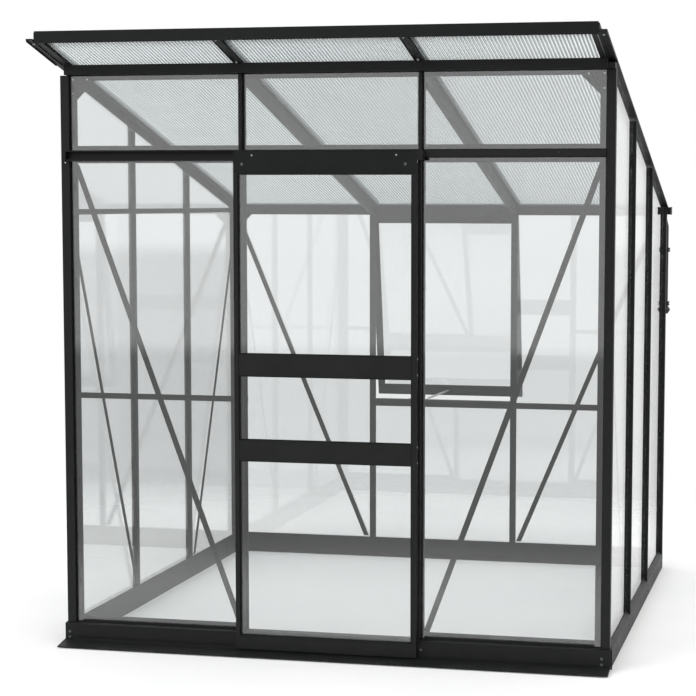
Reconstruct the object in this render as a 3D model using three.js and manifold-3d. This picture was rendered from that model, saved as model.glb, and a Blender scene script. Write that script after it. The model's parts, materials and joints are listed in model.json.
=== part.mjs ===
// Lean-to greenhouse: an aluminium frame glazed on four sides, with a sliding door in the high
// wall, a roof of twin-wall sheets that falls to the low wall, and a top-hung window there.
// Millimetres, Z up. The plan is drawn with the high wall's left outer corner at zero, x to the
// right along that wall and y towards the low wall; the group then moves the middle of the
// bounding box's foot to the origin.
import * as THREE from "three";
import { mergeVertices } from "three/addons/utils/BufferGeometryUtils.js";
import Module from "manifold-3d";

const wasm = await Module();
wasm.setup();

// Plan
const WIDTH = 1925; // between the outer faces of the side walls
const DEPTH = 1925; // between the outer faces of the high and the low wall
const BAYS = 3; // glazing bays on each wall
const BAR_AXIS = 25; // outer face of a wall to the first line of the bay grid
const CLEAR = 0.3; // fit between neighbouring pieces
const OVERRUN = 5; // how far a cutting body runs past what it cuts
const SAME_POINT = 0.0003; // corners nearer than this are one corner

// Wall bars and corner posts; distances inwards are from a wall's outer face
const GLASS = 4; // thickness of a pane
const GLASS_FACE = 13; // outer face of a wall to the outer face of its glass
const BAR_DEPTH = 24; // outer face of a wall to the inner face of its bars
const STEM = 10; // width of a bar's outer stem
const FLANGE = 27; // width of a bar's inner flange
const POST = 30; // side of a corner post's square tube
const POST_WALL = 2; // wall of that tube
const POST_REACH = 53; // end of the flanges that run out of a corner post
const BRACE_WIDTH = 20; // flat bars of the bracing
const BRACE_THICK = 3;

// Base ring under the side walls and the low wall
const BASE_FACE = 60; // height of the upright outer face
const BASE_TOP = 87.5; // top of the sloping face
const BASE_IN = 29.7; // outer face to the inner leg's inner side
const BASE_WALL = 3;

// Sill under the high wall
const SILL_PROUD = 12; // outer face of the wall to the sill's front
const SILL_FRONT_TOP = 74; // front edge of the sill's top
const SILL_SEAT = 77; // level part of the sill's top, under the posts
const SILL_NOSE = 19.4; // foot of the sill's front, where the lip begins
const LIP_REACH = 89; // outer face of the wall to the lip's edge
const LIP_LEVEL = 7.3; // top of the lip's edge
const SILL_IN = 34; // outer face of the wall to the sill's inner leg
const SILL_END = 5; // how far the sill runs past the side walls
const GUIDE_THICK = 3; // ridge that guides the door's foot
const GUIDE_UP = 6; // how far the ridge stands up into the door's foot

// Roof
const ROOF_PITCH_DEG = 14;
const OVERHANG = 280.6; // roof bars run past the high wall
const EAVE_RUN = 12; // roof bars run past the low wall
const SHEET_RUN = 28; // roof sheets run past the low wall
const ROOF_FLANGE = 30; // width of a roof bar's flange
const ROOF_FLANGE_THICK = 5;
const ROOF_WEB = 20; // width of a roof bar's web
const ROOF_WEB_DEEP = 44; // depth of that web
const ROOF_STEM = 8; // width of the stem between two sheets
const SHEET = 10; // thickness of a twin-wall sheet
const ROOF_CAP = 12; // depth of the capping over the sheets
const ROOF_CAP_WIDTH = 36;
const GABLE_OVER = 2.6; // gable flange runs past the side wall
const GABLE_FLANGE = 50; // side wall's outer face to the gable flange's inner edge
const GABLE_STEM_IN = 22; // side wall's outer face to the gable bar's stem
const GABLE_STEM = 3;
const GABLE_CAP_IN = 43; // side wall's outer face to the inner edge of the gable capping
const GABLE_WEB_DEEP = 28;
const BAR_TOP_DROP = 8; // roof level to the top of a side bar's stem

// Fascia at the high edge of the roof
const FASCIA_IN = 25.6; // side wall's outer face to the fascia's end
const FASCIA_BACK = 3.6; // tip of the roof bars' outer strip to the fascia's face
const FASCIA_HIGH = 39.8;
const FASCIA_THICK = 3;
const FASCIA_PLATE_DEEP = 91; // depth of the fascia's top plate
const FASCIA_HEM = 8; // depth of the lip at the fascia's foot

// Eave beam over the high wall
const BEAM_PROUD = 25; // outer face of the wall to the beam's face
const BEAM_IN = 30; // outer face of the wall to the beam's back
const BEAM_UNDER = 28; // beam's underside to the roof level at the wall's face
const BEAM_DROP = 17.5; // depth of the flange under the beam, behind the glass
const BEAM_WALL = 2.5;
const BEAM_END = 24; // side wall's outer face to the beam's end

// Transom of the high wall and the door's track, one extrusion
const TRANSOM_FOOT = 1710;
const TRANSOM_HIGH = 24;
const TOP_PANE_HIGH = 259; // transom's top to the eave beam's underside
const TRANSOM_FLANGE = 18; // flange above and below the transom, behind the glass
const MULLION_PROUD = 8; // outer face of the wall to the mullions' outer caps
const TRACK_PLATE = 3;
const TRACK_OVER = 2; // the track's top lip runs past the door's face
const TRACK_LEFT = 22; // side wall's outer face to the track's left end
const TRACK_STOP = 9; // length of the end stop at the left
const TRACK_END = 19; // length of the end stop at the right
const RAIL_THICK = 3; // running rail under the door's rollers
const RAIL_HIGH = 3;

// Sliding door; distances outwards are from the high wall's outer face
const DOOR_LAP = 16; // the leaf's left edge past its bay line
const DOOR_SHORT = 3; // the leaf's right edge short of its bay line
const DOOR_FACE = 36;
const DOOR_BACK = 15;
const STILE_LEFT = 16;
const STILE_RIGHT = 18;
const DOOR_OVER_SILL = 0.6; // sill's lip to the door's underside
const FOOT_RAIL_HIGH = 48;
const LOW_PANEL_HIGH = 609;
const LOW_RAIL_HIGH = 71;
const MIDDLE_PANEL_HIGH = 221;
const HIGH_RAIL_HIGH = 74;
const HEAD_BOX = 36; // height of the head's box below the track
const HEAD_GAP = 9; // top of that box to the track
const HEAD_PLATE = 3; // face plate that carries the rollers
const DOOR_SKIN = 2.5; // skins of the foot rail

// Rollers
const ROLLER_R = 11; // running radius
const ROLLER_FLANGE_R = 13;
const ROLLER_WIDTH = 8;
const ROLLER_GROOVE = 3.8;
const ROLLER_OVER = 1.7; // rollers' flanges to the track's lip
const ROLLER_RUN = 0.15; // running fit on the axle
const AXLE_R = 3;
const ROLLER_LEFT_IN = 66; // leaf's left edge to the left axle
const ROLLER_RIGHT_IN = 71; // leaf's right edge to the right axle
const ROUND_STEPS = 24; // sides of a round piece

// Low wall: eave rail, gutter, window sill and downpipe
const RAIL_DROP = 36; // low eave to the underside of the eave rail's inner part
const GLASS_DROP = 23; // low eave to the underside of its outer part
const HINGE_RAIL_DROP = 45; // low eave to the underside of that part over the window
const GUTTER_DROP = 31; // low eave to the gutter's underside
const GUTTER_HIGH = 30;
const GUTTER_WALL = 2.5;
const GUTTER_END = 15; // gutter runs past the side walls
const REAR_SILL_UP = 6; // shut window's foot to the sill's top
const REAR_SILL_HIGH = 30;
const REAR_SILL_IN = 40;
const REAR_SILL_REBATE = 10; // depth of the sill's outer part, over the glass
const PEG_R = 3;
const PEG_HIGH = 3;
const PIPE_IN = 23.5; // side wall's outer face to the pipe's axis
const PIPE_OFF = 4; // low wall's outer face to the pipe's widest part
const PIPE_R = 27;
const PIPE_WALL = 2;
const PIPE_NECK_R = 15;
const NECK_ROOM = 3; // pipe's neck to the gutter's face
const PIPE_TAPER = 50; // from the gutter down to the pipe's full width
const PIPE_UPPER = 91; // taper to the upper collar
const PIPE_MIDDLE = 211; // between the collars
const PIPE_LOWER = 35; // lower collar to the pipe's end
const COLLAR_R = 33;
const COLLAR_HIGH = 17;
const BULGE_R = 38; // widest part, below the lower collar

// Window, drawn shut and then swung open about its hinge
const WINDOW_OPEN_DEG = 9.9;
const WINDOW_LAP = 12; // frame runs past the bay lines
const WINDOW_LONG = 806; // hinge axis to the frame's foot
const HINGE_DROP = 40; // low eave to the hinge axis
const HINGE_R = 4;
const WINDOW_STILE = 25;
const WINDOW_HEAD = 30;
const WINDOW_FOOT_RAIL = 40;
const WINDOW_DEEP = 20;
const WINDOW_BACK_GAP = 1; // shut frame to the wall's outer face
const STAY_OVER_PEG = 1.3; // pegs' tops to the stay's lowest point
const STAY_PIVOT_IN = 14; // frame's back face to the stay's pivot
const STAY_TAB = 16; // width of the tab under the pivot
const STAY_THICK = 3;
const STAY_WIDTH = 14;
const STAY_LONG = 148; // pivot to the centre of the stay's round end
const STAY_SWING_DEG = 24.7; // from square to the frame, at rest
const STAY_PIN_R = 3;

// Bracing; a brace's ends are given by its middle line
const TIE_DROP = 27; // low eave to the side walls' tie
const TIE_HIGH = 19.5;
const FRONT_BAR_UP = 795.5; // sill's seat to the high wall's cross bars
const BRACE_IN = 45; // side wall's outer face to a brace's head, on the high and low walls
const FRONT_BRACE_DROP = 23; // transom to the brace's head
const FRONT_BRACE_SHORT = 12; // brace's foot to the bay line
const FRONT_BRACE_UP = 1; // sill's seat to the brace's foot
const SIDE_BRACE_IN = 33; // high wall's outer face to a brace's head, on a side wall
const SIDE_BRACE_DROP = 44; // tie to the brace's head
const SIDE_BRACE_SHORT = 27;
const SIDE_BRACE_UP = 2.5; // base ring to the brace's foot
const REAR_BRACE_DROP = 25; // eave rail to the brace's head
const REAR_BRACE_SHORT = 28;
const REAR_BRACE_UP = 4.5;
const GUSSET = 55; // height of the plate that joins a side brace to its tie

// Places worked out from the sizes above
const bedDepth = GLASS_FACE + GLASS + CLEAR;
const pitch = (WIDTH - BAR_AXIS - BAR_AXIS) / BAYS;
const sidePitch = (DEPTH - BAR_AXIS - BAR_AXIS) / BAYS;
const slope = Math.tan(THREE.MathUtils.degToRad(ROOF_PITCH_DEG));
const lastBay = BAYS - 1;
const innerLines = [1, lastBay];
const transomTop = TRANSOM_FOOT + TRANSOM_HIGH;
const beamFoot = transomTop + TOP_PANE_HIGH;
const highEave = beamFoot + BEAM_UNDER; // underside of the roof at the high wall's outer face
const lowEave = roofLevel(DEPTH);
const postSeat = SILL_SEAT + CLEAR;
const braceDepth = BAR_DEPTH + CLEAR;

function bayLine(number) {
  return BAR_AXIS + number * pitch;
}

function sideLine(number) {
  return BAR_AXIS + number * sidePitch;
}

function roofLevel(y) {
  return highEave - y * slope;
}

// Door: the track is as high as the rollers need, and the leaf hangs under it
const doorLeft = bayLine(1) - DOOR_LAP;
const doorRight = bayLine(lastBay) - DOOR_SHORT;
const doorMiddle = (DOOR_FACE + DOOR_BACK) / 2;
const doorFootLevel = SILL_NOSE + DOOR_OVER_SILL;
const footRailTop = doorFootLevel + FOOT_RAIL_HIGH;
const lowRailFoot = footRailTop + LOW_PANEL_HIGH;
const lowRailTop = lowRailFoot + LOW_RAIL_HIGH;
const highRailFoot = lowRailTop + MIDDLE_PANEL_HIGH;
const highRailTop = highRailFoot + HIGH_RAIL_HIGH;
const trackLip = DOOR_FACE + TRACK_OVER;
const rollerRoom = RAIL_HIGH + CLEAR + ROLLER_R + ROLLER_FLANGE_R + ROLLER_OVER;
const trackFoot = transomTop - TRACK_PLATE - rollerRoom - TRACK_PLATE;
const railTop = trackFoot + TRACK_PLATE + RAIL_HIGH;
const axleLevel = railTop + CLEAR + ROLLER_R;
const rollerFront = DOOR_FACE - HEAD_PLATE - CLEAR;
const headFoot = trackFoot - HEAD_GAP - HEAD_BOX;

// Low wall: its pieces hang from the low eave, and its sill lies under the window
const rearRailFoot = lowEave - RAIL_DROP;
const rearGlassTop = lowEave - GLASS_DROP;
const hingeRailFoot = lowEave - HINGE_RAIL_DROP;
const gutterFoot = lowEave - GUTTER_DROP;
const hingeLevel = lowEave - HINGE_DROP;
const windowFoot = hingeLevel - WINDOW_LONG;
const rearSillTop = windowFoot + REAR_SILL_UP;
const pipeOut = BULGE_R + PIPE_OFF;
const gutterReach = pipeOut + PIPE_NECK_R + NECK_ROOM;

// Top of the base at a distance inwards from the wall's outer face
function baseLevel(inwards) {
  const rise = (BASE_TOP - BASE_FACE) / BASE_IN;
  return BASE_FACE + Math.min(inwards, BASE_IN) * rise;
}

// Materials
function coat(color, roughness, metalness) {
  return new THREE.MeshStandardMaterial({ color, roughness, metalness });
}

const blackAluminium = coat(0x262728, 0.5, 0.3);
const fasciaAluminium = coat(0x343536, 0.5, 0.3);
const clearGlass = coat(0xdde4e6, 0.05, 0);
const ribbedSheet = coat(0xd8dbdb, 0.35, 0);
const blackPlastic = coat(0x1c1c1d, 0.6, 0);
const zincSteel = coat(0xb0b2b4, 0.35, 1);

function anticlockwise(outline) {
  const points = outline.map(([u, v]) => new THREE.Vector2(u, v));
  return THREE.ShapeUtils.isClockWise(points) ? points.reverse() : points;
}

// Prisms: an outline drawn in one plane and run along the third axis
function prism(outline, length, across, up, along, start, hole) {
  const shape = new THREE.Shape(anticlockwise(outline));
  if (hole) {
    shape.holes.push(new THREE.Path(anticlockwise(hole).reverse()));
  }
  const geometry = new THREE.ExtrudeGeometry(shape, { depth: length, bevelEnabled: false });
  const turn = new THREE.Matrix4().makeBasis(across, up, along);
  turn.setPosition(start);
  return geometry.applyMatrix4(turn);
}

const X = new THREE.Vector3(1, 0, 0);
const Y = new THREE.Vector3(0, 1, 0);
const Z = new THREE.Vector3(0, 0, 1);

// Outline in y and z, run along x
function alongX(outline, from, to, hole) {
  return prism(outline, to - from, Y, Z, X, new THREE.Vector3(from, 0, 0), hole);
}

// Outline in x and z, run along y
function alongY(outline, from, to, hole) {
  const back = Y.clone().negate();
  return prism(outline, to - from, X, Z, back, new THREE.Vector3(0, to, 0), hole);
}

// Outline in x and y, run along z
function alongZ(outline, from, to, hole) {
  return prism(outline, to - from, X, Y, Z, new THREE.Vector3(0, 0, from), hole);
}

function rectangle(u0, u1, v0, v1) {
  return [[u0, v0], [u1, v0], [u1, v1], [u0, v1]];
}

function box(x0, x1, y0, y1, z0, z1) {
  return alongZ(rectangle(x0, x1, y0, y1), z0, z1);
}

// Joining and cutting
function toManifold(geometry) {
  const bare = geometry.clone();
  bare.deleteAttribute("normal");
  bare.deleteAttribute("uv");
  const merged = mergeVertices(bare, SAME_POINT);
  const mesh = new wasm.Mesh({
    numProp: 3,
    vertProperties: new Float32Array(merged.attributes.position.array),
    triVerts: new Uint32Array(merged.index.array),
  });
  return new wasm.Manifold(mesh);
}

function toGeometry(manifold) {
  const mesh = manifold.getMesh();
  const geometry = new THREE.BufferGeometry();
  geometry.setAttribute("position", new THREE.BufferAttribute(mesh.vertProperties, 3));
  geometry.setIndex(new THREE.BufferAttribute(mesh.triVerts, 1));
  return geometry;
}

function join(...pieces) {
  const solids = pieces.map(toManifold);
  return toGeometry(solids.reduce((whole, next) => whole.add(next)));
}

function cut(piece, ...tools) {
  const solids = tools.map(toManifold);
  return toGeometry(solids.reduce((whole, next) => whole.subtract(next), toManifold(piece)));
}

// Walls: each turns a distance inwards and a distance along into a place on the plan
const walls = {
  front: (inwards, along) => [along, inwards],
  rear: (inwards, along) => [along, DEPTH - inwards],
  left: (inwards, along) => [inwards, along],
  right: (inwards, along) => [WIDTH - inwards, along],
};

// Upright prism with a rectangular plan on a wall
function upright(wall, in0, in1, along0, along1, z0, z1) {
  const corners = rectangle(in0, in1, along0, along1);
  return alongZ(corners.map(([inwards, along]) => wall(inwards, along)), z0, z1);
}

// Upright slab on a side wall, from an outline in y and z
function sideSlab(wall, outline, in0, in1) {
  const ends = [wall(in0, 0)[0], wall(in1, 0)[0]].sort((a, b) => a - b);
  return alongX(outline, ends[0], ends[1]);
}

// Upright slab on the high or the low wall, from an outline in x and z
function crossSlab(wall, outline, in0, in1) {
  const ends = [wall(in0, 0)[1], wall(in1, 0)[1]].sort((a, b) => a - b);
  return alongY(outline, ends[0], ends[1]);
}

// Base ring: a skin over a channel that is open to the ground
function baseSkin(inwards) {
  return [
    [inwards(0), 0],
    [inwards(0), BASE_FACE],
    [inwards(BASE_IN), BASE_TOP],
    [inwards(BASE_IN), 0],
  ];
}

function baseChannel(inwards) {
  const innerFace = BASE_IN - BASE_WALL;
  return [
    [inwards(BASE_WALL), -OVERRUN],
    [inwards(BASE_WALL), baseLevel(BASE_WALL) - BASE_WALL],
    [inwards(innerFace), baseLevel(innerFace) - BASE_WALL],
    [inwards(innerFace), -OVERRUN],
  ];
}

function lipLevel(outwards) {
  const fall = (SILL_NOSE - LIP_LEVEL) / (LIP_REACH - SILL_PROUD);
  return SILL_NOSE - (outwards - SILL_PROUD) * fall;
}

function sillSection() {
  const leg = SILL_IN - BASE_WALL;
  const skin = SILL_PROUD - BASE_WALL;
  return [
    [-SILL_PROUD, SILL_FRONT_TOP],
    [0, SILL_SEAT],
    [SILL_IN, SILL_SEAT],
    [SILL_IN, 0],
    [leg, 0],
    [leg, SILL_SEAT - BASE_WALL],
    [0, SILL_SEAT - BASE_WALL],
    [-skin, SILL_FRONT_TOP - BASE_WALL],
    [-skin, SILL_NOSE - BASE_WALL],
    [-LIP_REACH, LIP_LEVEL - BASE_WALL],
    [-LIP_REACH, LIP_LEVEL],
    [-SILL_PROUD, SILL_NOSE],
  ];
}

function baseFrame() {
  const fromLeft = (inwards) => inwards;
  const fromRight = (inwards) => WIDTH - inwards;
  const fromRear = (inwards) => DEPTH - inwards;
  const skinStart = SILL_IN - BASE_WALL;
  const channelEnd = DEPTH - BASE_WALL;
  const guideFoot = lipLevel(doorMiddle) - BASE_WALL / 2;
  const guideBack = doorMiddle - GUIDE_THICK / 2;
  const guideTop = doorFootLevel + GUIDE_UP;
  const ring = join(
    alongX(sillSection(), -SILL_END, WIDTH + SILL_END),
    alongY(baseSkin(fromLeft), skinStart, DEPTH),
    alongY(baseSkin(fromRight), skinStart, DEPTH),
    alongX(baseSkin(fromRear), 0, WIDTH),
    box(POST, doorRight, -guideBack - GUIDE_THICK, -guideBack, guideFoot, guideTop),
  );
  return cut(
    ring,
    alongY(baseChannel(fromLeft), SILL_IN, channelEnd),
    alongY(baseChannel(fromRight), SILL_IN, channelEnd),
    alongX(baseChannel(fromRear), BASE_WALL, WIDTH - BASE_WALL),
  );
}

// Space kept over the base, from which the feet of posts and bars are cut
function baseKeep() {
  const keep = (inwards) => [
    [inwards(-OVERRUN), 0],
    [inwards(-OVERRUN), BASE_FACE + CLEAR],
    [inwards(0), BASE_FACE + CLEAR],
    [inwards(BASE_IN), BASE_TOP + CLEAR],
    [inwards(BASE_IN + OVERRUN), BASE_TOP + CLEAR],
    [inwards(BASE_IN + OVERRUN), 0],
  ];
  const start = SILL_IN - BASE_WALL - CLEAR;
  const left = alongY(keep((inwards) => inwards), start, DEPTH + OVERRUN);
  const right = alongY(keep((inwards) => WIDTH - inwards), start, DEPTH + OVERRUN);
  const rear = alongX(keep((inwards) => DEPTH - inwards), -OVERRUN, WIDTH + OVERRUN);
  return [left, right, rear];
}

// Corner post: a square tube with a flange along each of its two walls
function cornerPost(mirror, foot, top) {
  const outer = rectangle(0, POST, 0, POST).map(mirror);
  const bore = rectangle(POST_WALL, POST - POST_WALL, POST_WALL, POST - POST_WALL).map(mirror);
  const tube = alongZ(outer, foot, top, bore);
  const overlap = POST - POST_WALL;
  const sideFlange = rectangle(bedDepth, BAR_DEPTH, overlap, POST_REACH).map(mirror);
  const endFlange = rectangle(overlap, POST_REACH, bedDepth, BAR_DEPTH).map(mirror);
  const whole = join(tube, alongZ(sideFlange, foot, top), alongZ(endFlange, foot, top));
  return cut(whole, ...baseKeep());
}

// Wall bar: an outer stem between two panes and an inner flange behind them
function wallBar(wall, along, proud, foot, stemTop, flangeTop) {
  const halfStem = STEM / 2;
  const halfFlange = FLANGE / 2;
  const overlap = bedDepth + CLEAR;
  const stem = upright(wall, -proud, overlap, along - halfStem, along + halfStem, foot, stemTop);
  const from = along - halfFlange;
  const flange = upright(wall, bedDepth, BAR_DEPTH, from, along + halfFlange, foot, flangeTop);
  const low = Math.min(stemTop, flangeTop);
  const trim = upright(wall, bedDepth, BAR_DEPTH, from, along + halfFlange, low, stemTop + OVERRUN);
  const bar = stemTop > flangeTop ? join(cut(stem, trim), flange) : join(stem, flange);
  return cut(bar, ...baseKeep());
}

function sideBar(wall, number) {
  const y = sideLine(number);
  const stemTop = roofLevel(y + STEM / 2) - BAR_TOP_DROP;
  const flangeTop = roofLevel(y + FLANGE / 2) - GABLE_WEB_DEEP - CLEAR;
  return wallBar(wall, y, 0, BASE_FACE, stemTop, flangeTop);
}

function mullion(number) {
  const stemTop = beamFoot - CLEAR;
  const flangeTop = beamFoot - BEAM_DROP - CLEAR;
  return wallBar(walls.front, bayLine(number), MULLION_PROUD, postSeat, stemTop, flangeTop);
}

function rearBar(number) {
  const top = rearRailFoot - CLEAR;
  return wallBar(walls.rear, bayLine(number), 0, BASE_FACE, top, top);
}

// Eave beam over the high wall, with a flange behind the top of the glass
function eaveBeam() {
  const roofFace = (y) => roofLevel(y) - CLEAR;
  const ring = (inset) => {
    const front = -BEAM_PROUD + inset;
    const back = BEAM_IN - inset;
    return [
      [front, beamFoot + inset],
      [back, beamFoot + inset],
      [back, roofFace(back) - inset],
      [front, roofFace(front) - inset],
    ];
  };
  const tube = alongX(ring(0), BEAM_END, WIDTH - BEAM_END, ring(BEAM_WALL));
  const start = POST_REACH + CLEAR;
  const flangeTop = beamFoot + BEAM_WALL / 2;
  const flangeFoot = beamFoot - BEAM_DROP;
  const flange = box(start, WIDTH - start, bedDepth, BAR_DEPTH, flangeFoot, flangeTop);
  return join(tube, flange);
}

// Transom with the door's track in front of it
function trackSection() {
  const back = MULLION_PROUD + CLEAR;
  const plate = back + TRACK_PLATE;
  const railBack = rollerFront - ROLLER_WIDTH / 2 - RAIL_THICK / 2;
  const shelf = rollerFront - CLEAR;
  const shelfTop = trackFoot + TRACK_PLATE;
  const lipFoot = transomTop - TRACK_PLATE;
  return [
    [-back, trackFoot],
    [-back, transomTop],
    [-trackLip, transomTop],
    [-trackLip, lipFoot],
    [-plate, lipFoot],
    [-plate, shelfTop],
    [-railBack, shelfTop],
    [-railBack, railTop],
    [-railBack - RAIL_THICK, railTop],
    [-railBack - RAIL_THICK, shelfTop],
    [-shelf, shelfTop],
    [-shelf, trackFoot],
  ];
}

function transom() {
  const stopRight = doorRight + CLEAR;
  const back = MULLION_PROUD + CLEAR;
  const track = alongX(trackSection(), TRACK_LEFT, stopRight + TRACK_END);
  const stopAt = (x, long) => box(x, x + long, -trackLip, -back, trackFoot, transomTop);
  const from = POST + CLEAR;
  const overlap = back + TRACK_PLATE / 2;
  const stem = box(from, WIDTH - from, -overlap, bedDepth + CLEAR, TRANSOM_FOOT, transomTop);
  const reach = POST_REACH + CLEAR;
  const low = TRANSOM_FOOT - TRANSOM_FLANGE;
  const high = transomTop + TRANSOM_FLANGE;
  const flange = box(reach, WIDTH - reach, bedDepth, BAR_DEPTH, low, high);
  const slots = innerLines.flatMap((number) => mullionSlot(bayLine(number), low, high));
  const trim = (x0, x1) => box(x0, x1, bedDepth - CLEAR, BAR_DEPTH, low, high);
  const stops = [stopAt(TRACK_LEFT, TRACK_STOP), stopAt(stopRight, TRACK_END)];
  const whole = join(track, ...stops, stem, flange);
  return cut(whole, ...slots, doorwayCut(), trim(0, reach), trim(WIDTH - reach, WIDTH));
}

// The flange under the transom stops at the doorway
function doorwayCut() {
  const foot = TRANSOM_FOOT - TRANSOM_FLANGE - OVERRUN;
  const back = BAR_DEPTH + OVERRUN;
  return box(bayLine(1), bayLine(lastBay), bedDepth, back, foot, TRANSOM_FOOT);
}

function mullionSlot(x, low, high) {
  const stem = STEM / 2 + CLEAR;
  const flange = FLANGE / 2 + CLEAR;
  const foot = low - OVERRUN;
  const top = high + OVERRUN;
  return [
    box(x - stem, x + stem, -MULLION_PROUD - CLEAR, bedDepth + CLEAR, foot, top),
    box(x - flange, x + flange, bedDepth - CLEAR, BAR_DEPTH + OVERRUN, foot, top),
  ];
}

// Roof bars: web, flange, stem between the sheets and capping over them, as side outlines
function roofStrip(y0, y1, low, high) {
  return [
    [y0, roofLevel(y0) + low],
    [y1, roofLevel(y1) + low],
    [y1, roofLevel(y1) + high],
    [y0, roofLevel(y0) + high],
  ];
}

const sheetFoot = ROOF_FLANGE_THICK + CLEAR;
const capFoot = sheetFoot + SHEET + CLEAR;
const capTop = capFoot + ROOF_CAP;
const fasciaFace = -OVERHANG + FASCIA_BACK;
const barStart = fasciaFace + FASCIA_THICK + CLEAR;
const barEnd = DEPTH + EAVE_RUN;

function roofBar(number) {
  const x = bayLine(number);
  const webStart = BEAM_IN + CLEAR;
  const webEnd = DEPTH - BAR_DEPTH - CLEAR;
  const strip = (width, y0, y1, low, high) =>
    alongX(roofStrip(y0, y1, low, high), x - width / 2, x + width / 2);
  const overlap = ROOF_FLANGE_THICK / 2;
  return join(
    strip(ROOF_WEB, webStart, webEnd, -ROOF_WEB_DEEP, overlap),
    strip(ROOF_FLANGE, barStart, barEnd, 0, ROOF_FLANGE_THICK),
    strip(ROOF_STEM, barStart, barEnd, overlap, capTop - overlap),
    strip(ROOF_CAP_WIDTH, barStart, barEnd, capFoot, capTop),
  );
}

function gableBar(wall) {
  const strip = (in0, in1, y0, y1, low, high) =>
    sideSlab(wall, roofStrip(y0, y1, low, high), in0, in1);
  const stemEnd = GABLE_STEM_IN + GABLE_STEM;
  const webStart = POST_REACH + CLEAR;
  const overlap = ROOF_FLANGE_THICK / 2;
  return join(
    strip(-GABLE_OVER, GABLE_STEM_IN, -OVERHANG, barEnd, 0, ROOF_FLANGE_THICK),
    strip(GABLE_STEM_IN - CLEAR, GABLE_FLANGE, barStart, barEnd, 0, ROOF_FLANGE_THICK),
    strip(bedDepth, BAR_DEPTH, webStart, DEPTH - webStart, -GABLE_WEB_DEEP, overlap),
    strip(GABLE_STEM_IN, stemEnd, barStart, barEnd, overlap, capTop),
    strip(GABLE_STEM_IN, GABLE_CAP_IN, barStart, barEnd, capFoot, capTop),
  );
}

function roofSheet(number) {
  const halfStem = ROOF_STEM / 2;
  const gableStem = GABLE_STEM_IN + GABLE_STEM;
  const left = number === 0 ? gableStem : bayLine(number) + halfStem;
  const right = number === lastBay ? WIDTH - gableStem : bayLine(number + 1) - halfStem;
  const outline = roofStrip(barStart, DEPTH + SHEET_RUN, sheetFoot, sheetFoot + SHEET);
  return alongX(outline, left + CLEAR, right - CLEAR);
}

// Fascia: an angle whose top plate lies on the cappings and whose face closes the bars' ends
function fascia() {
  const plateFoot = (y) => roofLevel(y) + capTop + CLEAR;
  const back = fasciaFace + FASCIA_THICK;
  const top = plateFoot(fasciaFace) + FASCIA_THICK;
  const foot = top - FASCIA_HIGH;
  const end = fasciaFace + FASCIA_PLATE_DEEP;
  const outline = [
    [fasciaFace, foot],
    [fasciaFace, top],
    [end, plateFoot(end) + FASCIA_THICK],
    [end, plateFoot(end)],
    [back, plateFoot(back)],
    [back, foot + FASCIA_THICK],
    [fasciaFace + FASCIA_HEM, foot + FASCIA_THICK],
    [fasciaFace + FASCIA_HEM, foot],
  ];
  return alongX(outline, FASCIA_IN, WIDTH - FASCIA_IN);
}

// Panes of the high wall
function frontPane(number, z0, z1) {
  const half = STEM / 2 + CLEAR;
  const left = number === 0 ? POST + CLEAR : bayLine(number) + half;
  const right = number === lastBay ? WIDTH - POST - CLEAR : bayLine(number + 1) - half;
  return upright(walls.front, GLASS_FACE, GLASS_FACE + GLASS, left, right, z0, z1);
}

const paneFoot = baseLevel(GLASS_FACE + GLASS) + CLEAR;

// Panes of a side wall, cut to the roof's slope
function sidePane(wall, number) {
  const half = STEM / 2 + CLEAR;
  const y0 = number === 0 ? POST + CLEAR : sideLine(number) + half;
  const y1 = number === lastBay ? DEPTH - POST - CLEAR : sideLine(number + 1) - half;
  const foot = number === 0 ? Math.max(paneFoot, postSeat) : paneFoot;
  const outline = [
    [y0, foot],
    [y1, foot],
    [y1, roofLevel(y1) - CLEAR],
    [y0, roofLevel(y0) - CLEAR],
  ];
  return sideSlab(wall, outline, GLASS_FACE, GLASS_FACE + GLASS);
}

function rearPane(number, top) {
  const half = STEM / 2 + CLEAR;
  const left = number === 0 ? POST + CLEAR : bayLine(number) + half;
  const right = number === lastBay ? WIDTH - POST - CLEAR : bayLine(number + 1) - half;
  return upright(walls.rear, GLASS_FACE, GLASS_FACE + GLASS, left, right, paneFoot, top);
}

// Eave rail of the low wall: an outer part over the glass, deeper over the window, and an
// inner part behind it
function eaveRailPart(y0, y1, foot, x0, x1) {
  const outline = [
    [y0, foot],
    [y1, foot],
    [y1, roofLevel(y1) - CLEAR],
    [y0, roofLevel(y0) - CLEAR],
  ];
  return alongX(outline, x0, x1);
}

function eaveRail() {
  const bed = DEPTH - bedDepth;
  const back = DEPTH - BAR_DEPTH;
  const overlap = bed - CLEAR;
  const near = POST + CLEAR;
  const reach = POST_REACH + CLEAR;
  const half = STEM / 2 + CLEAR;
  const left = bayLine(1);
  const right = bayLine(lastBay);
  const rail = join(
    eaveRailPart(overlap, DEPTH, rearGlassTop, near, WIDTH - near),
    eaveRailPart(overlap, DEPTH, hingeRailFoot, left + half, right - half),
    eaveRailPart(back, bed, rearRailFoot, reach, WIDTH - reach),
  );
  const trim = (x0, x1) => box(x0, x1, back - OVERRUN, bed + CLEAR, rearGlassTop, highEave);
  const underRail = box(left, right, back - OVERRUN, bed, hingeRailFoot - OVERRUN, rearRailFoot);
  const slots = innerLines.map((number) => rearSlot(bayLine(number)));
  return cut(rail, underRail, ...slots, trim(0, reach), trim(WIDTH - reach, WIDTH));
}

// Eave rail with the gutter on its face
function gutter() {
  const top = gutterFoot + GUTTER_HIGH;
  const near = POST + CLEAR;
  const link = box(near, WIDTH - near, DEPTH - CLEAR, DEPTH + GUTTER_WALL, rearGlassTop, top);
  return join(eaveRail(), gutterTrough(), link);
}

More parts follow.
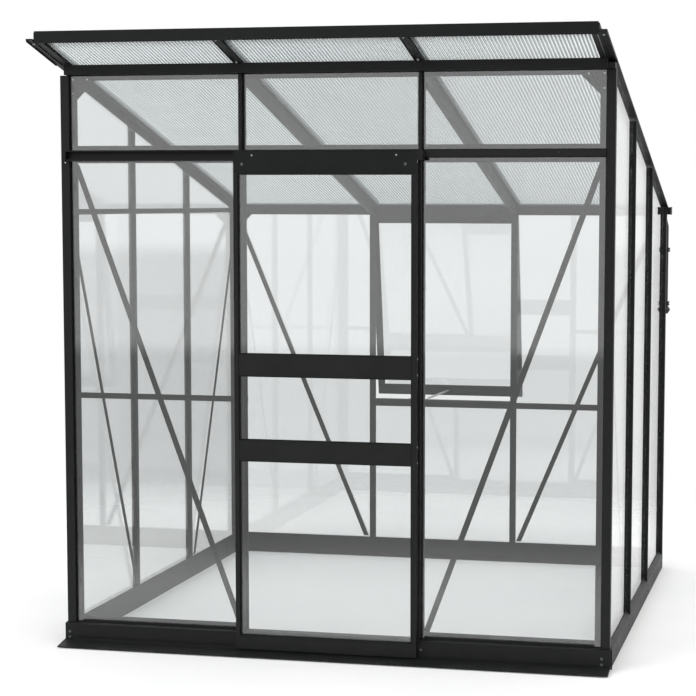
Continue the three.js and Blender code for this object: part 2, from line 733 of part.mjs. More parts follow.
function rearSlot(x) {
  const half = STEM / 2 + CLEAR;
  const bed = DEPTH - bedDepth;
  return box(x - half, x + half, bed, DEPTH + OVERRUN, hingeRailFoot - OVERRUN, rearRailFoot);
}

function gutterTrough() {
  const back = DEPTH + CLEAR;
  const face = DEPTH + gutterReach;
  const top = gutterFoot + GUTTER_HIGH;
  const outer = rectangle(back, face, gutterFoot, top);
  const block = alongX(outer, -GUTTER_END, WIDTH + GUTTER_END);
  const inner = rectangle(
    DEPTH + GUTTER_WALL,
    face - GUTTER_WALL,
    gutterFoot + GUTTER_WALL,
    top + OVERRUN,
  );
  const hollow = alongX(inner, -GUTTER_END + GUTTER_WALL, WIDTH + GUTTER_END - GUTTER_WALL);
  const outlet = cylinder(PIPE_NECK_R - PIPE_WALL, OVERRUN + GUTTER_WALL + OVERRUN);
  outlet.translate(WIDTH - PIPE_IN, DEPTH + pipeOut, gutterFoot - OVERRUN);
  return cut(block, hollow, outlet);
}

// Upright cylinder standing on zero
function cylinder(radius, height) {
  const round = new THREE.CylinderGeometry(radius, radius, height, ROUND_STEPS);
  round.rotateX(Math.PI / 2);
  return round.translate(0, 0, height / 2);
}

// Downpipe, turned about its own axis
function downpipe() {
  const top = gutterFoot - CLEAR;
  const shoulder = gutterFoot - PIPE_TAPER;
  const highCollar = shoulder - PIPE_UPPER - COLLAR_HIGH;
  const lowCollar = highCollar - PIPE_MIDDLE - COLLAR_HIGH;
  const foot = lowCollar - PIPE_LOWER;
  const bore = PIPE_R - PIPE_WALL;
  const profile = [
    [bore, foot],
    [PIPE_R, foot],
    [BULGE_R, (foot + lowCollar) / 2],
    ...collar(lowCollar),
    ...collar(highCollar),
    [PIPE_R, shoulder],
    [PIPE_NECK_R, top],
    [PIPE_NECK_R - PIPE_WALL, top],
    [bore, shoulder],
    [bore, foot],
  ];
  const turned = new THREE.LatheGeometry(
    profile.map(([radius, level]) => new THREE.Vector2(radius, level)),
    ROUND_STEPS,
  );
  turned.rotateX(Math.PI / 2);
  return turned.translate(WIDTH - PIPE_IN, DEPTH + pipeOut, 0);
}

function collar(foot) {
  const top = foot + COLLAR_HIGH;
  return [[PIPE_R, foot], [COLLAR_R, foot], [COLLAR_R, top], [PIPE_R, top]];
}

// Sill under the window, with two pegs for the stay
const stayPivotX = (bayLine(1) + bayLine(lastBay)) / 2;
const windowBack = DEPTH + WINDOW_BACK_GAP;
const hingeY = DEPTH + CLEAR + HINGE_R;
const openAngle = THREE.MathUtils.degToRad(WINDOW_OPEN_DEG);
const restAngle = THREE.MathUtils.degToRad(STAY_SWING_DEG);
const stayPivotY = windowBack - STAY_PIVOT_IN;
const stayFoot = stayLevel();

// Level of the stay's underside on the shut window, from which the stay just clears the pegs
// once the window and the stay are at rest
function stayLevel() {
  const reach = STAY_LONG * Math.cos(restAngle) + STAY_WIDTH / 2;
  const inwards = hingeY - stayPivotY + reach;
  const lowest = rearSillTop + PEG_HIGH + STAY_OVER_PEG;
  const below = hingeLevel - lowest - inwards * Math.sin(openAngle);
  return hingeLevel - below / Math.cos(openAngle);
}

function rearSill() {
  const halfFlange = FLANGE / 2 + CLEAR;
  const top = rearSillTop;
  const foot = top - REAR_SILL_HIGH;
  const lipFoot = top - REAR_SILL_REBATE;
  const left = bayLine(1) + halfFlange;
  const right = bayLine(lastBay) - halfFlange;
  const body = upright(walls.rear, bedDepth, REAR_SILL_IN, left, right, foot, top);
  const lip = upright(walls.rear, 0, bedDepth + CLEAR, left, right, lipFoot, top);
  const pegY = DEPTH - GLASS_FACE;
  const pegAt = (x) => cylinder(PEG_R, PEG_HIGH + CLEAR).translate(x, pegY, top - CLEAR);
  const run = (hingeY + WINDOW_LONG * Math.sin(openAngle) - pegY) * Math.tan(restAngle);
  return join(body, lip, pegAt(stayPivotX - run), pegAt(stayPivotX - STAY_LONG));
}

// Window: drawn shut, then turned about the hinge
function swungOpen(geometry) {
  geometry.translate(0, -hingeY, -hingeLevel);
  geometry.rotateX(openAngle);
  return geometry.translate(0, hingeY, hingeLevel);
}

function windowFrame() {
  const left = bayLine(1) - WINDOW_LAP;
  const right = bayLine(lastBay) + WINDOW_LAP;
  const back = windowBack;
  const face = windowBack + WINDOW_DEEP;
  const outer = rectangle(left, right, windowFoot, hingeLevel);
  const opening = rectangle(
    left + WINDOW_STILE,
    right - WINDOW_STILE,
    windowFoot + WINDOW_FOOT_RAIL,
    hingeLevel - WINDOW_HEAD,
  );
  const frame = alongY(outer, back, face, opening);
  const barrel = new THREE.CylinderGeometry(HINGE_R, HINGE_R, right - left, ROUND_STEPS);
  barrel.rotateZ(Math.PI / 2).translate((left + right) / 2, hingeY, hingeLevel);
  const tabLeft = stayPivotX - STAY_TAB / 2;
  const tabTop = stayFoot - CLEAR;
  const tabEnd = stayPivotY - STAY_TAB / 2;
  const tab = box(tabLeft, tabLeft + STAY_TAB, tabEnd, back + CLEAR, tabTop - STAY_THICK, tabTop);
  const pin = cylinder(STAY_PIN_R, STAY_THICK + CLEAR + STAY_THICK);
  pin.translate(stayPivotX, stayPivotY, tabTop - STAY_THICK / 2);
  return swungOpen(join(frame, barrel, tab, pin));
}

function windowPane() {
  const left = bayLine(1) - WINDOW_LAP + WINDOW_STILE + CLEAR;
  const right = bayLine(lastBay) + WINDOW_LAP - WINDOW_STILE - CLEAR;
  const foot = windowFoot + WINDOW_FOOT_RAIL + CLEAR;
  const top = hingeLevel - WINDOW_HEAD - CLEAR;
  const middle = windowBack + WINDOW_DEEP / 2;
  return swungOpen(box(left, right, middle - GLASS / 2, middle + GLASS / 2, foot, top));
}

function windowStay() {
  const half = STAY_WIDTH / 2;
  const outline = new THREE.Shape();
  outline.absarc(0, 0, half, 0, Math.PI, false);
  outline.absarc(0, -STAY_LONG, half, Math.PI, 2 * Math.PI, false);
  const eye = new THREE.Path();
  eye.absarc(0, 0, STAY_PIN_R + CLEAR, 0, 2 * Math.PI, true);
  outline.holes.push(eye);
  const bar = new THREE.ExtrudeGeometry(outline, {
    depth: STAY_THICK,
    bevelEnabled: false,
    curveSegments: ROUND_STEPS / 2,
  });
  bar.rotateZ(-restAngle);
  bar.translate(stayPivotX, stayPivotY, stayFoot);
  return swungOpen(bar);
}

// Flat bar between two points of a wall, cut level at its head and foot
function flatBar([along0, high0], [along1, high1]) {
  const run = along1 - along0;
  const rise = high1 - high0;
  const half = (BRACE_WIDTH / 2) * (Math.hypot(run, rise) / Math.abs(rise));
  return [
    [along0 - half, high0],
    [along0 + half, high0],
    [along1 + half, high1],
    [along1 - half, high1],
  ];
}

function mirrored(outline, span) {
  return outline.map(([along, level]) => [span - along, level]);
}

function frontBracing(isRight) {
  const place = (outline) => (isRight ? mirrored(outline, WIDTH) : outline);
  const end = bayLine(1) + FLANGE / 2;
  const barFoot = SILL_SEAT + FRONT_BAR_UP;
  const bar = rectangle(POST + CLEAR, end, barFoot, barFoot + BRACE_WIDTH);
  const head = [BRACE_IN, TRANSOM_FOOT - FRONT_BRACE_DROP];
  const foot = [bayLine(1) - FRONT_BRACE_SHORT, SILL_SEAT + FRONT_BRACE_UP];
  const brace = flatBar(head, foot);
  const depth = [braceDepth, braceDepth + BRACE_THICK];
  return join(
    crossSlab(walls.front, place(bar), ...depth),
    crossSlab(walls.front, place(brace), ...depth),
  );
}

function sideBracing(wall) {
  const near = POST + CLEAR;
  const tieFoot = lowEave - TIE_DROP;
  const tieTop = tieFoot + TIE_HIGH;
  const tie = rectangle(near, DEPTH - near, tieFoot, tieTop);
  const head = [SIDE_BRACE_IN, tieFoot - SIDE_BRACE_DROP];
  const foot = [sideLine(1) - SIDE_BRACE_SHORT, BASE_TOP + SIDE_BRACE_UP];
  const brace = flatBar(head, foot);
  const gusset = rectangle(near, near + GUSSET / 2, tieTop - GUSSET - TIE_HIGH, tieTop);
  const slab = (outline) => sideSlab(wall, outline, braceDepth, braceDepth + BRACE_THICK);
  const outlines = [tie, brace, gusset, mirrored(brace, DEPTH), mirrored(gusset, DEPTH)];
  const post = rectangle(-OVERRUN, near, 0, highEave);
  const clearPost = (outline) => sideSlab(wall, outline, 0, BAR_DEPTH + POST);
  const posts = [post, mirrored(post, DEPTH)].map(clearPost);
  return cut(join(...outlines.map(slab)), ...posts);
}

function rearBrace(isRight) {
  const head = [BRACE_IN, rearRailFoot - REAR_BRACE_DROP];
  const foot = [bayLine(1) - REAR_BRACE_SHORT, BASE_TOP + REAR_BRACE_UP];
  const brace = flatBar(head, foot);
  const outline = isRight ? mirrored(brace, WIDTH) : brace;
  return crossSlab(walls.rear, outline, braceDepth, braceDepth + BRACE_THICK);
}

// Door leaf
function doorBar(x0, x1, z0, z1) {
  return box(x0, x1, -DOOR_FACE, -DOOR_BACK, z0, z1);
}

const leafLeft = doorLeft + STILE_LEFT + CLEAR;
const leafRight = doorRight - STILE_RIGHT - CLEAR;
const stileFoot = footRailTop + CLEAR;
const stileTop = headFoot - CLEAR;

function doorHead() {
  const top = transomTop - TRACK_PLATE - CLEAR;
  const plateBack = DOOR_FACE - HEAD_PLATE;
  const plate = box(doorLeft, doorRight, -DOOR_FACE, -plateBack, headFoot, top);
  const head = doorBar(doorLeft, doorRight, headFoot, headFoot + HEAD_BOX);
  return join(plate, head, ...rollerPlaces().map(axle));
}

function axle(x) {
  const long = ROLLER_WIDTH + HEAD_PLATE;
  const back = rollerFront - ROLLER_WIDTH - CLEAR;
  const round = new THREE.CylinderGeometry(AXLE_R, AXLE_R, long, ROUND_STEPS);
  return round.translate(x, -back - long / 2, axleLevel);
}

function doorFoot() {
  const web = footRailTop - DOOR_SKIN;
  const outline = [
    [-DOOR_FACE, doorFootLevel],
    [-DOOR_FACE, footRailTop],
    [-DOOR_BACK, footRailTop],
    [-DOOR_BACK, doorFootLevel],
    [-DOOR_BACK - DOOR_SKIN, doorFootLevel],
    [-DOOR_BACK - DOOR_SKIN, web],
    [-DOOR_FACE + DOOR_SKIN, web],
    [-DOOR_FACE + DOOR_SKIN, doorFootLevel],
  ];
  return alongX(outline, doorLeft, doorRight);
}

function doorStile(left, width) {
  return doorBar(left, left + width, stileFoot, stileTop);
}

function doorPane(z0, z1) {
  const middle = -doorMiddle;
  const y0 = middle - GLASS / 2;
  return box(leafLeft, leafRight, y0, y0 + GLASS, z0 + CLEAR, z1 - CLEAR);
}

function rollerPlaces() {
  return [doorLeft + ROLLER_LEFT_IN, doorRight - ROLLER_RIGHT_IN];
}

// Grooved roller, turned about the axle
function roller(x) {
  const half = ROLLER_WIDTH / 2;
  const groove = ROLLER_GROOVE / 2;
  const bore = AXLE_R + ROLLER_RUN;
  const profile = [
    [bore, -half],
    [ROLLER_FLANGE_R, -half],
    [ROLLER_FLANGE_R, -groove],
    [ROLLER_R, -groove],
    [ROLLER_R, groove],
    [ROLLER_FLANGE_R, groove],
    [ROLLER_FLANGE_R, half],
    [bore, half],
    [bore, -half],
  ];
  const turned = new THREE.LatheGeometry(
    profile.map(([radius, along]) => new THREE.Vector2(radius, along)),
    ROUND_STEPS,
  );
  return turned.translate(x, -rollerFront + half, axleLevel);
}

// Assembly
const greenhouse = new THREE.Group();

function add(name, geometry, material) {
  const mesh = new THREE.Mesh(geometry, material);
  mesh.name = name;
  greenhouse.add(mesh);
}

function addFrame() {
  const postTop = beamFoot - CLEAR;
  const rearTop = roofLevel(DEPTH - POST) - BAR_TOP_DROP;
  const flipX = ([x, y]) => [WIDTH - x, y];
  const flipY = ([x, y]) => [x, DEPTH - y];
  const flipBoth = (point) => flipX(flipY(point));
  const same = (point) => point;
  add("base_frame", baseFrame(), blackAluminium);
  add("front_left_post", cornerPost(same, postSeat, postTop), blackAluminium);
  add("front_right_post", cornerPost(flipX, postSeat, postTop), blackAluminium);
  add("rear_left_post", cornerPost(flipY, BASE_FACE, rearTop), blackAluminium);
  add("rear_right_post", cornerPost(flipBoth, BASE_FACE, rearTop), blackAluminium);
  add("front_mullion_left", mullion(1), blackAluminium);
  add("front_mullion_right", mullion(lastBay), blackAluminium);
  add("front_eave_beam", eaveBeam(), blackAluminium);
  add("front_transom_and_track", transom(), blackAluminium);
  for (const side of ["left", "right"]) {
    add(`${side}_wall_bar_front`, sideBar(walls[side], 1), blackAluminium);
    add(`${side}_wall_bar_rear`, sideBar(walls[side], lastBay), blackAluminium);
    add(`${side}_wall_bracing`, sideBracing(walls[side]), blackAluminium);
    add(`front_bracing_${side}`, frontBracing(side === "right"), blackAluminium);
    add(`rear_brace_${side}`, rearBrace(side === "right"), blackAluminium);
  }
  add("rear_bar_left", rearBar(1), blackAluminium);
  add("rear_bar_right", rearBar(lastBay), blackAluminium);
  add("rear_eave_gutter", gutter(), blackAluminium);
  add("window_sill", rearSill(), blackAluminium);
  add("downpipe", downpipe(), blackPlastic);
}

function addRoof() {
  add("gable_rafter_left", gableBar(walls.left), blackAluminium);
  add("roof_bar_left", roofBar(1), blackAluminium);
  add("roof_bar_right", roofBar(lastBay), blackAluminium);
  add("gable_rafter_right", gableBar(walls.right), blackAluminium);
  add("roof_fascia", fascia(), fasciaAluminium);
  for (let number = 0; number < BAYS; number += 1) {
    add(`roof_sheet_${number + 1}`, roofSheet(number), ribbedSheet);
  }
}

function addGlass() {
  const lowTop = TRANSOM_FOOT - CLEAR;
  const highFoot = transomTop + CLEAR;
  const highTop = beamFoot - CLEAR;
  add("front_glass_left", frontPane(0, postSeat, lowTop), clearGlass);
  add("front_glass_right", frontPane(lastBay, postSeat, lowTop), clearGlass);
  for (let number = 0; number < BAYS; number += 1) {
    add(`front_top_glass_${number + 1}`, frontPane(number, highFoot, highTop), clearGlass);
    add(`left_glass_${number + 1}`, sidePane(walls.left, number), clearGlass);
    add(`right_glass_${number + 1}`, sidePane(walls.right, number), clearGlass);
  }
  const underWindow = rearSillTop - REAR_SILL_REBATE - CLEAR;
  add("rear_glass_left", rearPane(0, rearGlassTop - CLEAR), clearGlass);
  add("rear_glass_under_window", rearPane(1, underWindow), clearGlass);
  add("rear_glass_right", rearPane(lastBay, rearGlassTop - CLEAR), clearGlass);
}

function addDoor() {
  add("door_stile_left", doorStile(doorLeft, STILE_LEFT), blackAluminium);
  add("door_stile_right", doorStile(doorRight - STILE_RIGHT, STILE_RIGHT), blackAluminium);
  add("door_head", doorHead(), fasciaAluminium);
  add("door_foot_rail", doorFoot(), blackAluminium);
  add("door_rail_low", doorBar(leafLeft, leafRight, lowRailFoot, lowRailTop), blackAluminium);
  add("door_rail_high", doorBar(leafLeft, leafRight, highRailFoot, highRailTop), blackAluminium);
  add("door_glass_low", doorPane(footRailTop, lowRailFoot), clearGlass);
  add("door_glass_middle", doorPane(lowRailTop, highRailFoot), clearGlass);
  add("door_glass_high", doorPane(highRailTop, headFoot), clearGlass);
  const [left, right] = rollerPlaces();
  add("roller_left", roller(left), blackPlastic);
  add("roller_right", roller(right), blackPlastic);
}

function addWindow() {
  add("window_frame", windowFrame(), blackAluminium);
  add("window_glass", windowPane(), clearGlass);
  add("window_stay", windowStay(), zincSteel);
}

addFrame();
addRoof();
addGlass();
addDoor();
addWindow();

// Bounding box: from the tips of the gable flanges to the open window's outer corner
const windowFace = windowBack + WINDOW_DEEP - hingeY;
const windowReach = windowFace * Math.cos(openAngle) + WINDOW_LONG * Math.sin(openAngle);
const boxMiddle = (hingeY + windowReach - OVERHANG) / 2;
greenhouse.position.set(-WIDTH / 2, -boxMiddle, 0);

export default greenhouse;
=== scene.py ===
import json
import math

import bmesh
import bpy
from bpy.props import FloatProperty, FloatVectorProperty, PointerProperty
from mathutils import Matrix, Vector


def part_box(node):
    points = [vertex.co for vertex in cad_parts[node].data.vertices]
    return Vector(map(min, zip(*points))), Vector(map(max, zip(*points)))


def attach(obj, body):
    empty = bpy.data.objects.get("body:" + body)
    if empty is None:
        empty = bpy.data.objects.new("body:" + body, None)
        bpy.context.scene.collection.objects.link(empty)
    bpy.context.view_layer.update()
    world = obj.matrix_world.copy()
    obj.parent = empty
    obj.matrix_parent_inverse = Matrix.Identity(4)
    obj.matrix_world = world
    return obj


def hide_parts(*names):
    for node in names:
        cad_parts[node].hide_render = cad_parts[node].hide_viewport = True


bl_info = {
    "name": "Lean-to greenhouse",
    "version": (1, 0, 0),
    "blender": (4, 5, 0),
    "location": "View3D > Sidebar > Greenhouse",
    "description": "Finishes, roof sheets, seals and fastenings of a lean-to greenhouse",
    "category": "Object",
}

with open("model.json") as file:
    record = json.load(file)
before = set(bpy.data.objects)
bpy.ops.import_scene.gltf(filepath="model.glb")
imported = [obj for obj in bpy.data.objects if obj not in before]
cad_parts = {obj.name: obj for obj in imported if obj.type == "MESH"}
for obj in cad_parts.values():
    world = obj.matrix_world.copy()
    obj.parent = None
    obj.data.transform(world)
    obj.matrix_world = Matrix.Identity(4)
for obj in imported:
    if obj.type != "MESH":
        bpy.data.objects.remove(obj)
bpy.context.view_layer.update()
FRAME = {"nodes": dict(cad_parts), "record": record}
BODY_OF = {
    node: body
    for body, nodes in FRAME["record"]["behaviour"]["bodies"].items()
    for node in nodes
}
SLOT_OF = {part["node"]: part["material_slot"] for part in FRAME["record"]["subparts"]}

# The plan's zero is the high wall's left outer corner: millimetres to the right, back and up
PLAN_ZERO = Vector((-0.9625, -0.901863, 0))
WIDTH = 1925
DEPTH = 1925
BAR_LINES = (650, 1275)  # middle lines of the two bars in each wall and in the roof
HIGH_EAVE = 2021
ROOF_SLOPE = math.tan(math.radians(14))
ROOF_UP = (0, 0.2419, 0.9703)  # square to the roof
ROOF_DOWN = (0, -0.2419, -0.9703)
CANOPY_END = -272  # where strips under the canopy start, behind the fascia
BEAM_FACE = -27  # where they end, in front of the high wall's eave beam
GLASS_FACE = 13  # outer face of a wall to its panes
BAR_DEPTH = 24  # outer face of a wall to the inner face of its bars
POST_EDGE = 31.5  # wall's end to the free edge of a post
STEM_EDGE = 6.5  # middle line of a bar to the pane beside it
DOOR_HEAD_FACE = -36
DOOR_EDGE = 1272  # the door's right side
HINGE_Y = 1929.3
HINGE_LEVEL = 1501.044
WINDOW_OPEN = math.radians(9.9)

# Each wall's places: inwards from its outer face, along it, and up
WALLS = {
    "front": lambda inwards, along, level: at(along, inwards, level),
    "rear": lambda inwards, along, level: at(along, DEPTH - inwards, level),
    "left": lambda inwards, along, level: at(inwards, along, level),
    "right": lambda inwards, along, level: at(WIDTH - inwards, along, level),
}
INWARDS = {
    "front": Vector((0, 1, 0)),
    "rear": Vector((0, -1, 0)),
    "left": Vector((1, 0, 0)),
    "right": Vector((-1, 0, 0)),
}
FRONT, REAR, LEFT, RIGHT = (0, -1, 0), (0, 1, 0), (-1, 0, 0), (1, 0, 0)


# Places and lengths
def mm(size):
    """Millimetres as metres."""
    return size / 1000


def at(x, y, z):
    """Place on the plan, in millimetres, as a place in the frame, in metres."""
    return PLAN_ZERO + Vector((x, y, z)) / 1000


def roof_level(y):
    """Height of the roof's underside at a place on the plan."""
    return HIGH_EAVE - y * ROOF_SLOPE


def plan_box(node):
    """A CAD node's box on the plan, in millimetres."""
    return [(corner - PLAN_ZERO) * 1000 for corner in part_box(node)]


def swung(x, y, z):
    """Place of a point of the shut window once the window stands open."""
    back, up = y - HINGE_Y, z - HINGE_LEVEL
    y = HINGE_Y + back * math.cos(WINDOW_OPEN) - up * math.sin(WINDOW_OPEN)
    z = HINGE_LEVEL + back * math.sin(WINDOW_OPEN) + up * math.cos(WINDOW_OPEN)
    return at(x, y, z)


# Colours and nodes
def rgb(code):
    """Linear colour of an sRGB hex code."""
    parts = [int(code[i : i + 2], 16) / 255 for i in (1, 3, 5)]
    linear = [c / 12.92 if c <= 0.04045 else ((c + 0.055) / 1.055) ** 2.4 for c in parts]
    return (*linear, 1.0)


WHITE = rgb("#ffffff")


def colour(name, description, code):
    """Setting of a colour."""
    return FloatVectorProperty(
        name=name, description=description, default=rgb(code), subtype="COLOR", size=4
    )


def length(name, description, size):
    """Setting of a length, in millimetres."""
    return FloatProperty(name=name, description=description, default=mm(size), unit="LENGTH")


def add_node(tree, kind, inputs=None, **settings):
    """Adds a node; an input is given a value, or is linked where the value is a socket."""
    node = tree.nodes.new(kind)
    for name, value in settings.items():
        setattr(node, name, value)
    for key, value in (inputs or {}).items():
        if isinstance(value, bpy.types.NodeSocket):
            tree.links.new(value, node.inputs[key])
        else:
            node.inputs[key].default_value = value
    return node


def new_material(name):
    """An empty node material; the tree is None where the material was made before."""
    if name in bpy.data.materials:
        return bpy.data.materials[name], None
    material = bpy.data.materials.new(name)
    material.use_nodes = True
    material.node_tree.nodes.clear()
    return material, material.node_tree


def noise(tree, size, detail=3):
    """Noise whose lumps are about size millimetres across."""
    place = add_node(tree, "ShaderNodeTexCoord").outputs["Object"]
    inputs = {"Vector": place, "Scale": 1 / mm(size), "Detail": detail}
    return add_node(tree, "ShaderNodeTexNoise", inputs).outputs["Fac"]


def map_range(tree, value, from_min, from_max, to_min, to_max, **settings):
    """A value moved from one range to another."""
    inputs = {"Value": value, "From Min": from_min, "From Max": from_max}
    inputs.update({"To Min": to_min, "To Max": to_max})
    return add_node(tree, "ShaderNodeMapRange", inputs, **settings).outputs["Result"]


def spread(tree, value, low, high):
    """Noise, most of which lies between 0.3 and 0.7, turned into a range."""
    return map_range(tree, value, 0.3, 0.7, low, high)


def between(tree, share, first, second, kind="RGBA"):
    """Colour between two others, or a value where the kind is FLOAT."""
    inputs = {"Factor": share, "A": first, "B": second}
    return add_node(tree, "ShaderNodeMix", inputs, data_type=kind).outputs["Result"]


def maths(tree, operation, *values, **settings):
    """Result of an operation on values."""
    inputs = dict(enumerate(values))
    node = add_node(tree, "ShaderNodeMath", inputs, operation=operation, **settings)
    return node.outputs["Value"]


def mix_shaders(tree, share, first, second):
    """The first node's shader, with a share of the second's."""
    inputs = {0: share, 1: first.outputs[0], 2: second.outputs[0]}
    return add_node(tree, "ShaderNodeMixShader", inputs)


def rough_normal(tree, height, strength, depth):
    """Normal of a surface with marks of a depth in millimetres."""
    inputs = {"Height": height, "Strength": strength, "Distance": mm(depth)}
    return add_node(tree, "ShaderNodeBump", inputs).outputs["Normal"]


def finished(material, shader):
    """The material, with the shader as its surface."""
    inputs = {"Surface": shader.outputs[0]}
    add_node(material.node_tree, "ShaderNodeOutputMaterial", inputs)
    return material


# Materials
class FinishSettings(bpy.types.PropertyGroup):
    black_dark: colour("Black coat, dark", "Darker tone of the frame's powder coat", "#171918")
    black_pale: colour("Black coat, pale", "Paler tone of the frame's powder coat", "#1c1e1c")
    fascia_dark: colour("Fascia coat, dark", "Darker tone of the fascia's powder coat", "#191b1b")
    fascia_pale: colour("Fascia coat, pale", "Paler tone of the fascia's powder coat", "#1e2020")
    plastic: colour("Plastic", "Colour of the moulded plastic", "#121213")
    rubber: colour("Rubber", "Colour of the beads and seals", "#0f0f10")
    sheet: colour("Roof sheet", "Colour of the roof sheets' skins", "#f2f5f5")
    glass: colour("Glass", "Tint of each face of a pane", "#f9fafa")


def finish(name):
    """A colour as it is set in the sidebar."""
    return tuple(getattr(bpy.context.scene.greenhouse_finish, name))


def surface(name, lumps, colours, roughness, grain=None, sockets=None):
    """A material whose tone and sheen change over lumps, given by their size and detail.

    colours holds one colour or the two it changes between, roughness its lowest and highest
    value, and grain the size, detail, strength and depth of a fine bump.
    """
    material, tree = new_material(name)
    if tree is None:
        return material
    lump = noise(tree, *lumps)
    inputs = {"Base Color": colours[0], "Roughness": spread(tree, lump, *roughness)}
    inputs.update(sockets or {})
    if len(colours) == 2:
        inputs["Base Color"] = between(tree, spread(tree, lump, 0.0, 1.0), *colours)
    if grain:
        size, detail, strength, depth = grain
        inputs["Normal"] = rough_normal(tree, noise(tree, size, detail), strength, depth)
    return finished(material, add_node(tree, "ShaderNodeBsdfPrincipled", inputs))


def powder_coat(name, colours, roughness, specular):
    """Polyester powder coat on aluminium: a fine grain, and broad faint changes in sheen."""
    sheen = {"Specular IOR Level": specular}
    return surface(name, (60, 3), colours, roughness, (0.5, 2, 0.25, 0.05), sheen)


def black_coat():
    colours = finish("black_dark"), finish("black_pale")
    return powder_coat("black powder coat", colours, (0.44, 0.53), 0.2)


def anthracite_coat():
    colours = finish("fascia_dark"), finish("fascia_pale")
    return powder_coat("anthracite powder coat", colours, (0.48, 0.57), 0.12)


def black_plastic():
    """Moulded plastic: finely grained, a little glossier where it was polished."""
    colours = [finish("plastic")]
    sheen = {"Specular IOR Level": 0.35}
    grain = (0.8, 3, 0.3, 0.08)
    return surface("black moulded plastic", (25, 3), colours, (0.36, 0.5), grain, sheen)


def black_rubber():
    """Extruded synthetic rubber: matt, with a faint bloom."""
    colours = [finish("rubber")]
    sheen = {"Specular IOR Level": 0.25}
    return surface("black EPDM rubber", (15, 3), colours, (0.62, 0.75), sockets=sheen)


def zinc_steel():
    """Zinc-plated steel: bright, with fine cloudy spangle."""
    colours = rgb("#9c9fa2"), rgb("#c4c6c8")
    metal = {"Metallic": 1.0}
    return surface("zinc-plated steel", (4, 4), colours, (0.28, 0.42), sockets=metal)


def stainless_steel():
    """Stainless steel of bolts and screws: bright, with drawn marks."""
    colours = [rgb("#cfd0d1")]
    metal = {"Metallic": 1.0}
    return surface("stainless steel", (1.5, 4), colours, (0.24, 0.38), sockets=metal)


def blackened_steel():
    """Blackened steel of the clips and the outer bolts: dark, with a worn sheen."""
    colours = rgb("#4c4e50"), rgb("#77797b")
    metal = {"Metallic": 1.0}
    return surface("blackened steel", (2.5, 4), colours, (0.3, 0.48), sockets=metal)


def brush_pile():
    """Pile of a brush seal: short dark fibres that stand side by side."""
    material, tree = new_material("polypropylene pile")
    if tree is None:
        return material
    place = add_node(tree, "ShaderNodeTexCoord").outputs["Object"]
    # Real fibres of 0.1 mm are too fine to show, so bundles of them are drawn
    fibres = add_node(tree, "ShaderNodeTexWave", {"Vector": place, "Scale": 700.0})
    inputs = {"Base Color": rgb("#1b1b1c"), "Roughness": 0.95}
    inputs["Normal"] = rough_normal(tree, fibres.outputs["Fac"], 0.6, 0.2)
    return finished(material, add_node(tree, "ShaderNodeBsdfPrincipled", inputs))


def clear_glass():
    """Toughened glass: clear, a little wavy, with the reflection of a pale room on it."""
    material, tree = new_material("clear toughened glass")
    if tree is None:
        return material
    normal = rough_normal(tree, noise(tree, 400, 1), 0.03, 1)
    # Fresnel takes the inverse index on the faces seen from inside the glass
    index = 1.45
    inside = add_node(tree, "ShaderNodeNewGeometry").outputs["Backfacing"]
    index_here = maths(tree, "MULTIPLY_ADD", inside, 1 / index - index, index)
    fresnel = add_node(tree, "ShaderNodeFresnel", {"IOR": index_here, "Normal": normal})
    coating = 0.065  # what the glass mirrors more than bare glass does
    share = maths(tree, "ADD", fresnel.outputs["Fac"], coating, use_clamp=True)
    clear = add_node(tree, "ShaderNodeBsdfTransparent", {"Color": finish("glass")})
    inputs = {"Color": WHITE, "Roughness": 0.02, "Normal": normal}
    gloss = add_node(tree, "ShaderNodeBsdfGlossy", inputs)
    return finished(material, mix_shaders(tree, share, clear, gloss))


def polycarbonate(name, cover, glow, skin):
    """Milky polycarbonate that lets light through; cover is the share that isn't clear."""
    material, tree = new_material(name)
    if tree is None:
        return material
    cloud = noise(tree, 90)
    inputs = {"Base Color": skin, "Roughness": spread(tree, cloud, 0.22, 0.32)}
    inputs["Specular IOR Level"] = 0.5
    face = add_node(tree, "ShaderNodeBsdfPrincipled", inputs)
    through = add_node(tree, "ShaderNodeBsdfTranslucent", {"Color": glow})
    clear = add_node(tree, "ShaderNodeBsdfTransparent", {"Color": rgb("#fdfefe")})
    milk = mix_shaders(tree, 0.5, face, through)
    share = spread(tree, cloud, cover - 0.02, cover + 0.02)
    return finished(material, mix_shaders(tree, share, clear, milk))


def sheet_skin():
    return polycarbonate("twin-wall polycarbonate", 0.21, finish("sheet"), finish("sheet"))


def rib_foot_painted_shade():
    """The thick foot of a rib, which hides more than a skin does, in a darker grey that is
    painted shade for the dark lines of the ribs.
    """
    return polycarbonate("polycarbonate rib", 0.66, rgb("#9da3a6"), rgb("#a8aeb0"))


def floor_paint(settings):
    """Pale matt floor that thins out into the white backdrop far from the object."""
    material, tree = new_material("pale studio floor")
    if tree is None:
        return material
    share = spread(tree, noise(tree, 700, 2), 0.0, 1.0)
    tone = between(tree, share, rgb("#f0f0f0"), tuple(settings.floor))
    paint = add_node(tree, "ShaderNodeBsdfDiffuse", {"Color": tone, "Roughness": 0.6})
    place = add_node(tree, "ShaderNodeTexCoord").outputs["Object"]
    distance = add_node(tree, "ShaderNodeVectorMath", {0: place}, operation="LENGTH")
    whole, gone = 1.7, 3.5  # metres from the middle
    inputs = distance.outputs["Value"], whole, gone, 0.0, 1.0
    fade = map_range(tree, *inputs, interpolation_type="SMOOTHSTEP")
    clear = add_node(tree, "ShaderNodeBsdfTransparent", {"Color": WHITE})
    return finished(material, mix_shaders(tree, fade, paint, clear))


# Pieces
def new_mesh(name, mesh_bm):
    """Mesh from a bmesh, which is freed."""
    mesh = bpy.data.meshes.new(name)
    mesh_bm.to_mesh(mesh)
    mesh_bm.free()
    return mesh


